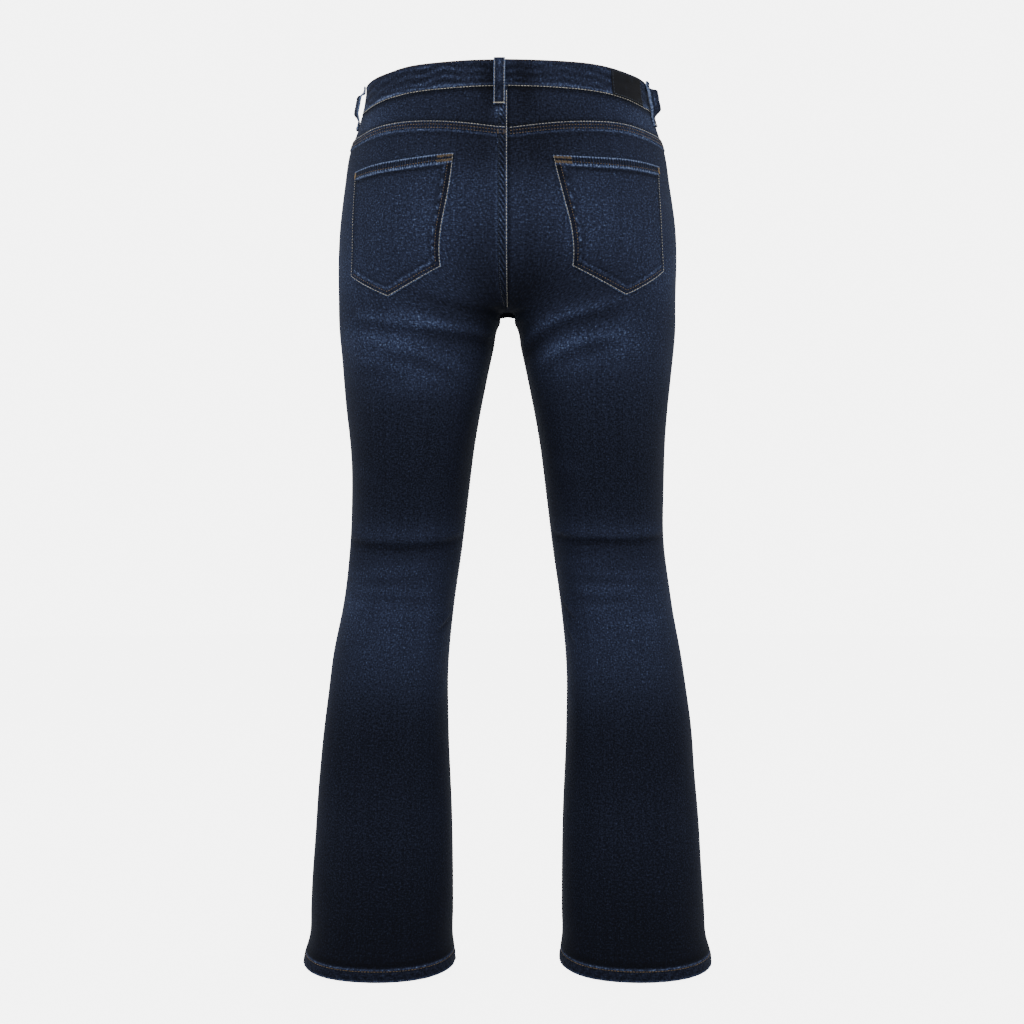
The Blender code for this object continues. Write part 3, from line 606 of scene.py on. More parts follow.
def sew_wall(name, node, outer, inner, side, place, level, sewing=None,
             materials=(indigo_denim, denim_reverse)):
    """One piece of cloth as a closed thin wall between two grids of points, with its fade and painted shade,
    wear and weave.
    It stands for one node of the frame."""
    rows, columns = outer.shape[:2]
    count = rows * columns
    index = np.arange(count).reshape(rows, columns)
    quads = np.stack([index[:-1, :-1], index[:-1, 1:], index[1:, 1:], index[1:, :-1]], -1).reshape(-1, 4)
    rim = np.concatenate([index[0, :-1], index[:-1, -1], index[-1, :0:-1], index[:0:-1, 0]])
    after = np.roll(rim, -1)
    edge = np.stack([rim, after, after + count, rim + count], -1)
    if side > 0:
        quads = quads[:, ::-1]
    else:
        edge = edge[:, ::-1]
    faces = np.concatenate([quads, edge, quads[:, ::-1] + count])
    points = np.concatenate([outer.reshape(-1, 3), inner.reshape(-1, 3)])
    piece = fill_mesh(name, points, faces, materials, 50)
    mesh = piece.data
    inside = np.zeros(len(faces), int)
    inside[len(quads) + len(edge):] = 1
    mesh.polygons.foreach_set("material_index", inside)
    corner = np.empty(len(mesh.loops), int)
    mesh.loops.foreach_get("vertex_index", corner)
    uv = np.tile(np.stack(place, -1).reshape(-1, 2), (2, 1))
    mesh.uv_layers.new(name="cloth").uv.foreach_set("vector", uv[corner].ravel())
    sewing = sewing or Sewing((rows, columns))
    for attribute, values in (("fade_and_shade", level), ("rub", sewing.rub), ("edge", sewing.edge),
                              ("roped", sewing.roped), ("turns", sewing.turns)):
        values = np.tile(np.broadcast_to(values, (rows, columns)).ravel(), 2)
        mesh.attributes.new(attribute, "FLOAT", "POINT").data.foreach_set("value", values)
    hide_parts(node)
    return piece


def steps(*spans):
    """Even steps through spans of (start, end, cells), each of which starts where the last one ends."""
    places = np.array(spans[0][:1], float)
    for start, end, cells in spans:
        places = np.concatenate([places, np.linspace(start, end, cells + 1)[1:]])
    return places


def towards_fork(t):
    """Shares of the way down to the fork, closer together near it."""
    start = math.asin(1 + (FORK + 0.205) / RISE)
    angle = start + (math.pi / 2 - start) * t
    return (np.sin(angle) - math.sin(start)) / (1 - math.sin(start))


def lines_between(first, second, u, cells, crowd=None):
    """Rows of heights from one line to the next, without the last, crowded at the centre seams if asked."""
    edge = np.abs(2 * u - 1) ** 4
    rows = []
    for t in np.arange(cells) / cells:
        part = t if crowd is None else (1 - edge) * t + edge * crowd(t)
        rows.append(first + (second - first) * part)
    return rows


def leg_lines(u, top, top_cells):
    """Heights of every row of a panel from its top line to the hem, closest at the fork and at the knee."""
    edge = np.abs(2 * u - 1)
    hip = -0.214 + 0.009 * edge
    fork = -0.270 + (FORK + 0.270) * edge
    thigh, knee, calf = (z * np.ones_like(u) for z in (-0.300, -0.475, -0.640))
    hem = curve(HEM, "z", u, "u")
    rows = lines_between(top, hip, u, top_cells)
    rows += lines_between(hip, fork, u, 26, towards_fork)
    rows += lines_between(fork, thigh, u, 26, lambda t: t ** 2.2)
    rows += lines_between(thigh, knee, u, 56)
    rows += lines_between(knee, calf, u, 82)
    rows += lines_between(calf, hem + 0.020, u, 100)
    rows += lines_between(hem + 0.020, hem + 0.0016, u, 18)
    return np.array(rows + [hem + 0.0016, hem + 0.0006, hem])


def sew_panel(name, node, side, u, z, sunk):
    """A panel of the trunk or leg; where it is sunk, it is seam allowance and lies under its neighbour."""
    base, normal, sewing = worn(u, z, side)
    thickness = np.where(z - curve(HEM, "z", u, "u") < HEM_DEPTH, DOUBLED, CLOTH)[..., None]
    outer = base + normal * (sewing.proud - sunk)[..., None]
    inner = outer - normal * thickness
    shown = (sunk == 0) & (u >= 0) & (u <= 1)
    tip = (np.minimum(np.abs(u), np.abs(1 - u)) < TINY) & (np.abs(z - FORK) < 0.005)
    for face in (outer, inner):
        face[..., 0] = np.where(shown, np.maximum(face[..., 0], GAP / 2), face[..., 0])
        face[..., 0] = np.where(tip, -0.0010, face[..., 0])
    mirror = np.array([side, 1.0, 1.0])
    return sew_wall(name, node, outer * mirror, inner * mirror, side, (0.5 * u * side, z), faded_and_shaded(u, z, side),
                    sewing)


def with_allowance(columns, low, high):
    """Columns of a panel with a strip of seam allowance beyond each end, and how far each column is sunk."""
    under = 0.0014 + GAP
    beyond = np.array([0.001, 0.005, 0.010])
    u = np.concatenate([low - beyond[::-1], columns, high + beyond])
    sunk = np.concatenate([[under, under, 0.5 * under], np.zeros(len(columns)), [0.5 * under, under, under]])
    return u, sunk


LEFT_RIGHT = ((1, "left"), (-1, "right"))
for side, hand in LEFT_RIGHT:
    columns, sunk = with_allowance(steps((0.5, 0.526, 11), (0.526, 0.972, 64), (0.972, 1.0, 14)), 0.5, 1.0)
    seam = curve(SEAMS, "yoke", columns, "u")
    z = np.concatenate([[seam + 0.0060, seam + 0.0010], leg_lines(columns, seam - GAP / 2, 66)])
    sunk = np.tile(sunk, (len(z), 1))
    sunk[:2] = np.maximum(sunk[:2], 0.0016)
    panel = sew_panel("back_panel_" + hand, "back_" + hand, side, np.broadcast_to(columns, z.shape), z, sunk)


# Front leg panels, of the same denim, from the waistband to the hem. Each has a scooped front pocket
# opening cut out of its upper corner, with a turned and twice-stitched edge.
SCOOP_WIDTH = 0.17


def scoop_foot(u):
    """Height of the line that the scooped pocket opening reaches down to."""
    return np.interp(u, (0.0, 0.25, 0.5), (-0.1000, -0.0940, -0.0850))


for side, hand in LEFT_RIGHT:
    part = steps((0, 0.05, 12), (0.05, 0.95, 62), (0.95, 1.0, 12))
    low = scoop_foot(0.5 * part)
    scoop_u, scoop_z = [], []
    for t in np.arange(34) / 34:
        turn = math.pi / 2 * t
        across = part * (0.5 - SCOOP_WIDTH * math.cos(turn))
        waist = curve(SEAMS, "waist", across, "u") - GAP / 2
        bottom = np.interp(across, 0.5 * part, low)
        down = (1 - part ** 2) * t + part ** 2 * math.sin(turn)
        scoop_u.append(across)
        scoop_z.append(waist + (bottom - waist) * down)
    columns = 0.5 * part
    z = leg_lines(columns, low, 46)
    u = np.concatenate([scoop_u[:1], scoop_u, np.broadcast_to(columns, z.shape)])
    z = np.concatenate([scoop_z[:1] + np.full(len(columns), 0.0030), scoop_z, z])
    before, sunk = with_allowance(columns, 0.0, 0.5)
    beside = (before[:3] - before[3], before[-3:] - before[-4])
    below = (np.arange(len(z)) > 34)[:, None]
    u = np.concatenate([u[:, :1] + beside[0], u, u[:, -1:] + beside[1] * below], axis=1)
    z = np.concatenate([z[:, :1] + np.zeros(3), z, z[:, -1:] - [0.0004, 0.0008, 0.0012] * ~below], axis=1)
    sunk = np.tile(sunk, (len(z), 1))
    sunk[0] = np.maximum(sunk[0], 0.0008)
    panel = sew_panel("front_panel_" + hand, "front_" + hand, side, u, z, sunk)


# Back yokes: shaped bands of denim between the waistband and the yoke seam, cut to round the seat.
for side, hand in LEFT_RIGHT:
    columns, sunk = with_allowance(steps((0.5, 0.52, 9), (0.52, 0.972, 84), (0.972, 1.0, 15)), 0.5, 1.0)
    top = curve(SEAMS, "waist", columns, "u") - GAP / 2
    seam = curve(SEAMS, "yoke", columns, "u") + GAP / 2
    t = steps((0, 0.12, 6), (0.12, 0.74, 19), (0.74, 1, 25))
    z = np.concatenate([[top + 0.0030], top + (seam - top) * t[:, None]])
    sunk = np.tile(sunk, (len(z), 1))
    sunk[0] = np.maximum(sunk[0], 0.0008)
    yoke = sew_panel("back_yoke_" + hand, "yoke_" + hand, side, np.broadcast_to(columns, z.shape), z, sunk)


# Pocket facings: the denim that shows inside each scooped front pocket opening, sewn to the pocket bag.
for side, hand in LEFT_RIGHT:
    columns = np.linspace(0.5 - SCOOP_WIDTH - 0.03, 0.5, 44)
    top = curve(SEAMS, "waist", columns, "u") + 0.0030
    bottom = scoop_foot(columns) - 0.020
    z = top + (bottom - top) * np.linspace(0, 1, 40)[:, None]
    u = np.broadcast_to(columns, z.shape)
    outer, normal = lay(u, z, side, -0.0026)
    facing = sew_wall("facing_" + hand, "pocket_facing_" + hand, outer, outer - normal * CLOTH, side,
                      (0.5 * u * side, z), faded_and_shaded(u, z, side) - 0.10)


# Patch pockets: five-sided pieces of denim on the seat, hemmed at the mouth and sewn down with two rows.
# The turned-in edges stand up, and the cloth gathers along them. The two sit slightly differently.
POCKET_CLOTH = 0.0013
POCKET_WIDTH = 0.128
POCKET_FALL = 0.130
MOUTH = 0.0105
POCKET_POINT = 3 / 7
POCKETS = {
    1: table("part u_top z_top u_middle u_low z_low",
             (0.0, 0.6443, -0.0938, 0.6675, 0.6515, -0.2143),
             (POCKET_POINT, 0.7800, -0.0873, 0.7700, 0.7427, -0.2402),
             (1.0, 0.9087, -0.0809, 0.8983, 0.8758, -0.2074)),
    -1: table("part u_top z_top u_middle u_low z_low",
              (0.0, 0.6425, -0.0872, 0.6685, 0.6552, -0.2086),
              (POCKET_POINT, 0.7810, -0.0853, 0.7720, 0.7447, -0.2386),
              (1.0, 0.9235, -0.0835, 0.9037, 0.8790, -0.2068))}


def on_pocket(side, part, fall):
    """u and z of a place on a patch pocket: part runs from outer to inner side, fall from mouth to point."""
    places = list(POCKETS[side].values())
    u_top, z_top, u_middle, u_low, z_low = (np.interp(part, places[0], values) for values in places[1:])
    bow = 4 * fall * (1 - fall) * (u_middle - (u_top + u_low) / 2)
    return u_top + (u_low - u_top) * fall + bow, z_top + (z_low - z_top) * fall


def pocket_sewing(part, fall):
    """How a patch pocket is turned in at its edges, puckered and rubbed, with painted shadow under its
    mouth's hem. The gathers down its inner side come closer together as they go down."""
    depth = 0.122 + 0.030 * (1 - np.abs(part - POCKET_POINT) / 0.55)
    mouth, point = fall * depth, (1 - fall) * depth * 0.90
    outer, inner = part * POCKET_WIDTH, (1 - part) * POCKET_WIDTH
    edge = np.minimum(np.minimum(outer, inner), point)
    under_hem = mouth > MOUTH
    gathers = 50 * mouth + 244 * mouth ** 2
    sewing = Sewing(part.shape)
    sewing.turned(mouth < MOUTH + 0.008, mouth * 0.009 / MOUTH, strip(mouth, -0.0010, 0.0108, 0.0012),
                  outer / YOKE_ROPE)
    sewing.turned(under_hem, inner, 1.15 * strip(inner, 0.0058, 0.0105, 0.0016), gathers)
    sewing.turned(under_hem, point, 0.35 * strip(point, 0.0050, 0.0110, 0.0020), outer / 0.0088)
    sewing.turned(under_hem & (outer < 0.006), outer, 0.40 * strip(outer, 0.0020, 0.0075, 0.0016),
                  mouth / 0.0095)
    hem = smooth((MOUTH - mouth) / 0.0012)
    turned = smooth((0.0090 - edge) / 0.0018)
    sewing.proud += 0.0007 * np.maximum(turned * 0.7, hem) - 0.0007 * ridge(edge, 0.0, 0.0007)
    sewing.proud += 0.0005 * ridge(inner, 0.0080, 0.0030) * np.sin(2 * math.pi * gathers)
    sewing.rub += 0.24 * ridge(mouth, 0.0006, 0.0010) + 0.16 * ridge(mouth, MOUTH, 0.0012)
    sewing.rub += 0.04 * (mouth < MOUTH) + 0.08 * strip(point, -0.0010, 0.0090, 0.0015)
    # Painted shadow on the pocket just under the mouth's hem.
    sewing.rub -= 0.16 * ridge(mouth, MOUTH + 0.0035, 0.0022)
    sewing.rub -= under_hem * (0.10 * strip(inner, 0.0012, 0.0060, 0.0012)
                               + 0.12 * strip(inner, 0.0065, 0.0110, 0.0010)
                               + 0.05 * strip(point, 0.0065, 0.0110, 0.0010))
    return sewing


for side, hand in LEFT_RIGHT:
    part = steps((0, 0.08, 12), (0.08, 0.90, 46), (0.90, 1.0, 18))
    fall = steps((0, 0.10, 20), (0.10, 0.90, 70), (0.90, 1.0, 18))
    part, fall = np.broadcast_arrays(part, fall[:, None])
    u, z = on_pocket(side, part, fall)
    seat, normal = lay(u, z, side, GAP)
    sewing = pocket_sewing(part, fall)
    outer = seat + normal * (POCKET_CLOTH + sewing.proud)[..., None]
    pocket = sew_wall("patch_pocket_" + hand, "back_pocket_" + hand, outer, seat, side,
                      (0.5 * u * side + 0.003, z + 0.002), faded_and_shaded(u, z, side) - 0.01, sewing)


# Waistband: one long strip folded double, lapped left over right at the centre front. Its top fold and the
# seam under it have rubbed pale, and it has worn in long level streaks.
BAND_HEIGHT = 0.034


def band_heights(u, share):
    """Height at a share of the way up the waistband."""
    waist, top = (curve(SEAMS, name, u, "u") for name in ("waist", "top"))
    return waist + GAP / 2 + (top - waist - GAP / 2) * share


def band_wear(u, share, side):
    """Waves and pale streaks along the waistband."""
    run = 0.5 * u
    height = BAND_HEIGHT * share
    wave = 0.00035 * np.sin(2 * math.pi * (height / 0.0125 + 0.25 * np.sin(2 * math.pi * run / 0.11 + side)))
    wave = wave * (0.6 + 0.4 * np.sin(2 * math.pi * run / 0.17 + 1.0))
    wave = wave + 0.00018 * puckers(run, 0.0075, 2.0) * (ridge(share, 0.08, 0.10) + ridge(share, 0.95, 0.08))
    drift = 0.30 * np.sin(2 * math.pi * run / 0.093) + 0.16 * np.sin(2 * math.pi * run / 0.041 + side)
    streak = np.sin(2 * math.pi * (height / 0.0098 + drift))
    broken = 0.55 + 0.25 * np.sin(2 * math.pi * run / 0.145 + 2.0 * side)
    broken = broken + 0.20 * np.sin(2 * math.pi * run / 0.031)
    rub = (0.21 * np.clip(streak, -0.5, 1.0) - 0.03) * broken * strip(share, 0.06, 0.97, 0.12)
    rub = rub + (0.24 + 0.10 * ridge(u, 0.72, 0.08)) * ridge(share, 0.130, 0.055)
    rub = rub - 0.30 * ridge(share, 0.0, 0.035) + 0.12 * ridge(share, 0.99, 0.02)
    return wave, rub


# Rows from the top fold to the waist seam and how far each is sunk, then stations round the waist: side, u
# and how far each is sunk, the last ones on the lap under the button.
BAND_SHARE = np.concatenate([[1.0, 0.992], np.linspace(0.975, 0.10, 30), [0.08, 0.06, 0.04, 0.02, 0.006, 0]])
BAND_SUNK = np.concatenate([[0.0009, 0.0003], np.zeros(30), [0.0, 0.0, 0.0001, 0.0002, 0.0005, 0.0009]])
LAPPED = DOUBLED + GAP
stations = [(1, u, 0.0) for u in steps((0.0, 1.0, 236))]
stations += [(-1, u, 0.0) for u in steps((1.0, 0.026, 230))[1:]]
stations += [(-1, 0.018, 0.0010), (-1, 0.010, 0.0022), (-1, 0.002, LAPPED)]
stations += [(1, u, LAPPED) for u in (0.014, 0.026, 0.040, 0.054)]
outer, inner, band_uv, level, rubbed = [], [], [], [], []
for side, u, sunk in stations:
    z = band_heights(u, BAND_SHARE)
    base, normal = surface(u, z), outward(u, z)[0]
    wave, streak = band_wear(u, BAND_SHARE, side)
    points, normal = lift_off(base, normal, wave + slack(u, z, side) - BAND_SUNK - sunk, side)
    back_face = points - normal * (DOUBLED - 1.8 * BAND_SUNK)[:, None]
    if u == 0:
        points[:, 0] = back_face[:, 0] = GAP / 2
    outer.append(points)
    inner.append(back_face)
    band_uv.append(np.stack([z * 0.8, np.full_like(z, side * 0.5 * u + 2.0)], -1))
    level.append(faded_and_shaded(np.full_like(z, u), z, side))
    rubbed.append(streak)
outer, inner, band_uv = (np.array(values).transpose(1, 0, 2) for values in (outer, inner, band_uv))
level = np.array(level).T
band_sewing = Sewing(level.shape)
band_sewing.rub = np.array(rubbed).T
waistband = sew_wall("jeans_waistband", "waistband", outer, inner, 1, (band_uv[..., 0], band_uv[..., 1]),
                     level, band_sewing)


# Belt loops: strips of denim folded in three, held flat at both ends, bar-tacked at the foot, and standing
# off the waistband between them, so that a belt passes through.
LOOP_WIDTH = 0.013
LOOP_CLOTH = 0.0020
LOOP_LENGTH = 0.055
LOOP_STAND_OFF = 0.0066
LOOP_TACKED = 0.0006
# Each loop's place, side, u, how far its foot reaches below the waist seam, and twist in radians.
LOOPS = (("back", 1, 0.985, 0.0205, 0.0),
         ("side_left", 1, 0.515, 0.016, 0.34),
         ("side_right", -1, 0.585, 0.016, 0.62),
         ("front_left", 1, 0.135, 0.016, 0.0),
         ("front_right", -1, 0.135, 0.016, 0.0))


def loop_face(side, u, foot, twist, along, across):
    """Points of a loop's under side, along from the top of the waistband and across from edge to edge, from
    -1 to 1. Between its ends it may be twisted, so that its edge towards the front stands out."""
    top, waist = (float(curve(SEAMS, edge, u, "u")) for edge in ("top", "waist"))
    path = table(
        "z off",
        (top + 0.0010, LOOP_TACKED),
        (top - 0.0050, LOOP_TACKED),
        (top - 0.0070, 0.30 * LOOP_STAND_OFF),
        (top - 0.0100, 0.85 * LOOP_STAND_OFF),
        (top - 0.0135, LOOP_STAND_OFF),
        (waist + 0.0060, LOOP_STAND_OFF),
        (waist + 0.0010, 0.90 * LOOP_STAND_OFF),
        (waist - 0.0030, 0.35 * LOOP_STAND_OFF),
        (waist - 0.0060, LOOP_TACKED),
        (waist - foot, LOOP_TACKED))
    z = path["z"][0] + (path["z"][-1] - path["z"][0]) * along
    off = np.clip(curve(path, "off", z, "z"), LOOP_TACKED, LOOP_STAND_OFF)
    direction = surface(min(u + TINY, 1.0), waist) - surface(u - TINY, waist)
    direction = direction / np.linalg.norm(direction) * LOOP_WIDTH / 2
    normal = outward(u, waist)[0]
    middle = surface(np.full_like(z, u), z) + normal * off[..., None]
    turn = (twist * smooth((off - LOOP_TACKED) / (LOOP_STAND_OFF - LOOP_TACKED)) * across)[..., None]
    points = middle + direction * across[..., None] * np.cos(0.8 * twist) - normal * turn * LOOP_WIDTH / 2
    return points * [side, 1, 1], normal * [side, 1, 1]


for name, side, u, foot, twist in LOOPS:
    along, across = np.broadcast_arrays(np.linspace(0, 1, 66)[:, None], np.linspace(-1, 1, 17))
    under, normal = loop_face(side, u, foot, twist, along, across)
    crown = LOOP_CLOTH * (1 - 0.25 * across ** 8)
    crown = crown + 0.0002 * puckers(along * LOOP_LENGTH, 0.009, u) * np.abs(across)
    sewing = Sewing(along.shape)
    sewing.rub += 0.46 * ridge(np.abs(across), 0.98, 0.24) - 0.10 * ridge(np.abs(across), 0.60, 0.14)
    sewing.rub += 0.26 * ridge(across, 0.05, 0.25) * (0.5 + 0.5 * np.sin(along * 17))
    sewing.rub += 0.14 * ridge(along, 1.0, 0.02)
    loop = sew_wall("loop_" + name, "belt_loop_" + name, under + normal * crown[..., None], under, side,
                    (across * LOOP_WIDTH / 2 + u, along * LOOP_LENGTH), 0.58 - 0.14 * along, sewing)


# Patch: a bare piece of dark dyed leather on the waistband's right back, stitched round its edge.
dark_leather = new_material("dark_leather")
hide = add(dark_leather, "TexCoord")
grain = add(dark_leather, "TexVoronoi", {"Vector": hide.outputs["Object"], "Scale": 900.0})
scuff = add(dark_leather, "TexNoise", {"Vector": hide.outputs["Object"], "Scale": 90.0, "Detail": 4.0})
dyed = add(dark_leather, "ValToRGB", {"Fac": scuff.outputs["Fac"]}, stops=(
    (0.30, "#0A0B10"), (0.60, "#0E1016"), (0.80, "#171B27")))
pores = add(dark_leather, "Bump",
            {"Strength": 0.35, "Distance": 0.00015, "Height": grain.outputs["Distance"]})
add(dark_leather, "BsdfPrincipled", {
    "Base Color": dyed.outputs["Color"], "Roughness": 0.70, "Specular IOR Level": 0.15,
    "Normal": pores.outputs[0]})


def lay_on_band(side, u, share, lift):
    """Points and outward directions on the waistband, lifted off its waves."""
    z = band_heights(u, share)
    wave = band_wear(u, share, side)[0] + slack(u, z, side)
    return lift_off(surface(u, z), outward(u, z)[0], wave + lift, side)


PATCH_U = (0.645, 0.770)
PATCH_SHARE = (0.055, 0.965)
PATCH_LEATHER = 0.0011
across, share = np.broadcast_arrays(np.linspace(*PATCH_U, 45), np.linspace(*PATCH_SHARE[::-1], 19)[:, None])
bed, normal = lay_on_band(-1, across, share, GAP)
edge_u = np.minimum(across - PATCH_U[0], PATCH_U[1] - across) * 0.5
edge_z = np.minimum(share - PATCH_SHARE[0], PATCH_SHARE[1] - share) * BAND_HEIGHT
rounding = np.exp(-np.minimum(edge_u, edge_z) / 0.0006)
face = bed + normal * (PATCH_LEATHER - 0.0005 * rounding)[..., None]
sew_wall("leather_patch", "patch", face, bed, -1, (across, band_heights(across, share)), 0.3,
         materials=(dark_leather, dark_leather))


# Sewing thread: thick cotton-wrapped polyester in two colours, ecru along the edges and tan inside them.
# It has a soft silky gleam. Each stitch is a small round bead of thread, pulled into the cloth at its ends.
STITCH = 0.0031
STITCH_GAP = 0.0005
HEAVY = 0.00036
MEDIUM = 0.00031
FINE = 0.00024
ON_CLOTH = 0.0001
ecru_thread = new_material("ecru_thread")
tan_thread = new_material("tan_thread")
indigo_thread = new_material("indigo_thread")
for thread, dark, pale in ((ecru_thread, "#827F75", "#BCB8AA"), (tan_thread, "#4A3D2B", "#7B6543"),
                           (indigo_thread, "#161B29", "#2E384F")):
    spot = add(thread, "TexCoord")
    twist = add(thread, "TexNoise", {"Vector": spot.outputs["Object"], "Scale": 260.0, "Detail": 2.0})
    dyed = add(thread, "ValToRGB", {"Fac": twist.outputs["Fac"]}, stops=((0.35, dark), (0.65, pale)))
    add(thread, "BsdfPrincipled", {"Base Color": dyed.outputs["Color"], "Roughness": 0.6,
                                   "Specular IOR Level": 0.3, "Sheen Weight": 0.2})

BEAD_RINGS = table(
    "along size rise",
    (-0.50, 0.25, -0.9),
    (-0.34, 0.95, 0.0),
    (0.34, 0.95, 0.0),
    (0.50, 0.25, -0.9))
BEAD_SIDES = 5


def stitches(rows, name, thread, radius=MEDIUM):
    """One mesh of stitches laid along rows; a row is (points, normals, stitch length, gap)."""
    centres, ways, ups, lengths = [], [], [], []
    for points, normals, length, gap in rows:
        step = np.linalg.norm(np.diff(points, axis=0), axis=1)
        run = np.concatenate([[0], np.cumsum(step)])
        count = max(1, int(run[-1] / (length + gap)))
        pitch = run[-1] / count
        start = pitch * (np.arange(count) + 0.5) - length / 2
        first, last, up = (np.stack([np.interp(at, run, values[:, k]) for k in range(3)], -1)
                           for at, values in ((start, points), (start + length, points),
                                              (start + length / 2, normals)))
        centres.append((first + last) / 2)
        ways.append(last - first)
        ups.append(up / np.linalg.norm(up, axis=1, keepdims=True))
        lengths.append(np.linalg.norm(last - first, axis=1))
    centres, ways, ups, lengths = (np.concatenate(values) for values in (centres, ways, ups, lengths))
    ways = ways / lengths[:, None]
    acrosses = np.cross(ways, ups)
    acrosses /= np.linalg.norm(acrosses, axis=1, keepdims=True)
    ups = np.cross(acrosses, ways)
    angle = 2 * math.pi * np.arange(BEAD_SIDES) / BEAD_SIDES
    spokes = (acrosses[:, None] * np.cos(angle)[:, None] + ups[:, None] * np.sin(angle)[:, None]) * radius
    rings = []
    for along, size, rise in zip(*BEAD_RINGS.values()):
        middle = centres + ways * (along * lengths)[:, None] + ups * rise * radius
        rings.append(middle[:, None] + spokes * size)
    points = np.stack(rings, 1)
    at_ring = np.arange(len(rings) - 1)[:, None] * BEAD_SIDES
    first = (at_ring + np.arange(BEAD_SIDES)).ravel()
    beside = (at_ring + (np.arange(BEAD_SIDES) + 1) % BEAD_SIDES).ravel()
    quads = np.stack([first, beside, beside + BEAD_SIDES, first + BEAD_SIDES], -1)
    starts = (np.arange(len(centres)) * len(rings) * BEAD_SIDES)[:, None, None]
    faces = (quads[None] + starts).reshape(-1, 4)
    piece = fill_mesh(name, points.reshape(-1, 3), faces, (thread,), 0)


def row_on(side, u, z, lift=ON_CLOTH, length=STITCH, gap=STITCH_GAP):
    """A row of stitches on the worn cloth through places (u, z)."""
    return (*lay(u, z, side, lift), length, gap)


def round_leg(metres, u, z):
    """A distance round the body or leg as a step of u, near a place u."""
    return metres / outward(np.full_like(z, u), z)[1]


# Sewing of the seams: two rows through each felled seam, and one or two along each turned edge. The rows
# inside the edges sit in a groove, so that less of each stitch shows.
DOT = 0.0021
DOT_GAP = 0.0012
edge_rows, inner_rows, roped_rows = [], [], []
for side in (1, -1):
    u = np.linspace(0.502, 0.996, 400)
    seam = curve(SEAMS, "yoke", u, "u")
    edge_rows.append(row_on(side, u, seam + YOKE_BAND - 0.0008))
    for up in (0.0050, 0.0010):
        inner_rows.append(row_on(side, u, seam + up, ON_CLOTH, DOT, DOT_GAP))
z = np.linspace(-0.006, FORK + 0.004, 400)
edge_rows.append(row_on(1, 1 - round_leg(0.0009, 0.999, z), z))
roped_rows.append(row_on(1, 1 - round_leg(0.0092, 0.999, z), z, 0.0, DOT, DOT_GAP))
stitches(edge_rows, "thread_seams_ecru", ecru_thread, HEAVY)
stitches(inner_rows, "thread_seams_tan", tan_thread, 0.00033)
stitches(roped_rows, "thread_back_seam", indigo_thread)

inseam_rows, hem_rows = [], []
for side in (1, -1):
    z = np.linspace(FORK - 0.012, -0.990, 700)
    for inward in (0.0012, 0.0076):
        inseam_rows.append(row_on(side, round_leg(inward, 0.001, z), z))
    z = np.linspace(-0.022, -0.165, 200)
    inseam_rows.append(row_on(side, 0.5 - round_leg(0.0022, 0.499, z), z))
    u = np.linspace(0.001, 0.999, 600)
    hem_rows.append(row_on(side, u, curve(HEM, "z", u, "u") + HEM_ROW))
stitches(inseam_rows, "thread_inseams", tan_thread)
stitches(hem_rows, "thread_hems", tan_thread)

# Sewing of the patch pockets: an ecru row on the very edge, a tan row inside it, and two rows in the hem
# of the mouth. Each upper corner is locked with a bar tack, a close zigzag of tan thread.
pocket_ecru, pocket_tan, tacks = [], [], []


def pocket_row(side, part, fall, lift=ON_CLOTH, length=STITCH, gap=STITCH_GAP):
    """A row of stitches on a patch pocket."""
    lift = lift + GAP + POCKET_CLOTH + pocket_sewing(part, fall).proud
    return row_on(side, *on_pocket(side, part, fall), lift, length, gap)


def tack(points, normals, width, rows):
    """A bar tack's close zigzag: many short stitches side by side along a line of points."""
    way = points[-1] - points[0]
    length = np.linalg.norm(way)
    up = normals.mean(axis=0)
    up /= np.linalg.norm(up)
    across = np.cross(way / length, up)
    zigzag = []
    for share in (np.arange(rows) + 0.5) / rows:
        middle = points[0] + way * share
        lean = way / length * 0.0004
        line = np.array([middle - across * width / 2 - lean, middle + across * width / 2 + lean])
        zigzag.append((line, np.array([up, up]), width, 0.0))
    return zigzag


for side in (1, -1):
    run = np.linspace(0.0, 1.0, 200)
    level = np.ones(200)
    down = run * 0.985 + 0.005
    pocket_ecru.append(pocket_row(side, level * (1 - 0.0010 / POCKET_WIDTH), down))
    pocket_ecru.append(pocket_row(side, run, level * 0.990))
    pocket_ecru.append(pocket_row(side, level * 0.0012 / POCKET_WIDTH, down, 0.0, DOT, DOT_GAP))
    for part, fall in ((0.045 + run * 0.91, level * 0.960),
                       (level * (1 - 0.0056 / POCKET_WIDTH), 0.05 + run * 0.89),
                       (run * 0.98 + 0.01, level * 0.0068 / POCKET_FALL)):
        pocket_tan.append(pocket_row(side, part, fall, 0.0, DOT, DOT_GAP))
    for ends, fall, width, count in (((0.865, 0.992), 0.020, 0.0036, 24), ((0.865, 0.992), 0.062, 0.0036, 24),
                                     ((0.005, 0.032), 0.043, 0.0080, 7)):
        points, normals = pocket_row(side, np.array(ends), np.full(2, fall), 0.0005)[:2]
        tacks += tack(points, normals, width, count)
points, normals = lay(np.array([0.9975, 0.9825]), curve(SEAMS, "yoke", 0.99, "u") + 0.003, 1, ON_CLOTH)
tacks += tack(points, normals, 0.0050, 10)
stitches(pocket_ecru, "thread_pockets_ecru", ecru_thread)
stitches(pocket_tan, "thread_pockets_tan", tan_thread, 0.00030)

# Sewing of the waistband, the scooped front pockets, the fly and the loops.
band_rows, front_rows, loop_rows, dark_rows = [], [], [], []


def band_row(side, u, share, lift=ON_CLOTH):
    """A row of stitches on the waistband."""
    return (*lay_on_band(side, *np.broadcast_arrays(u, share), lift), STITCH, STITCH_GAP)


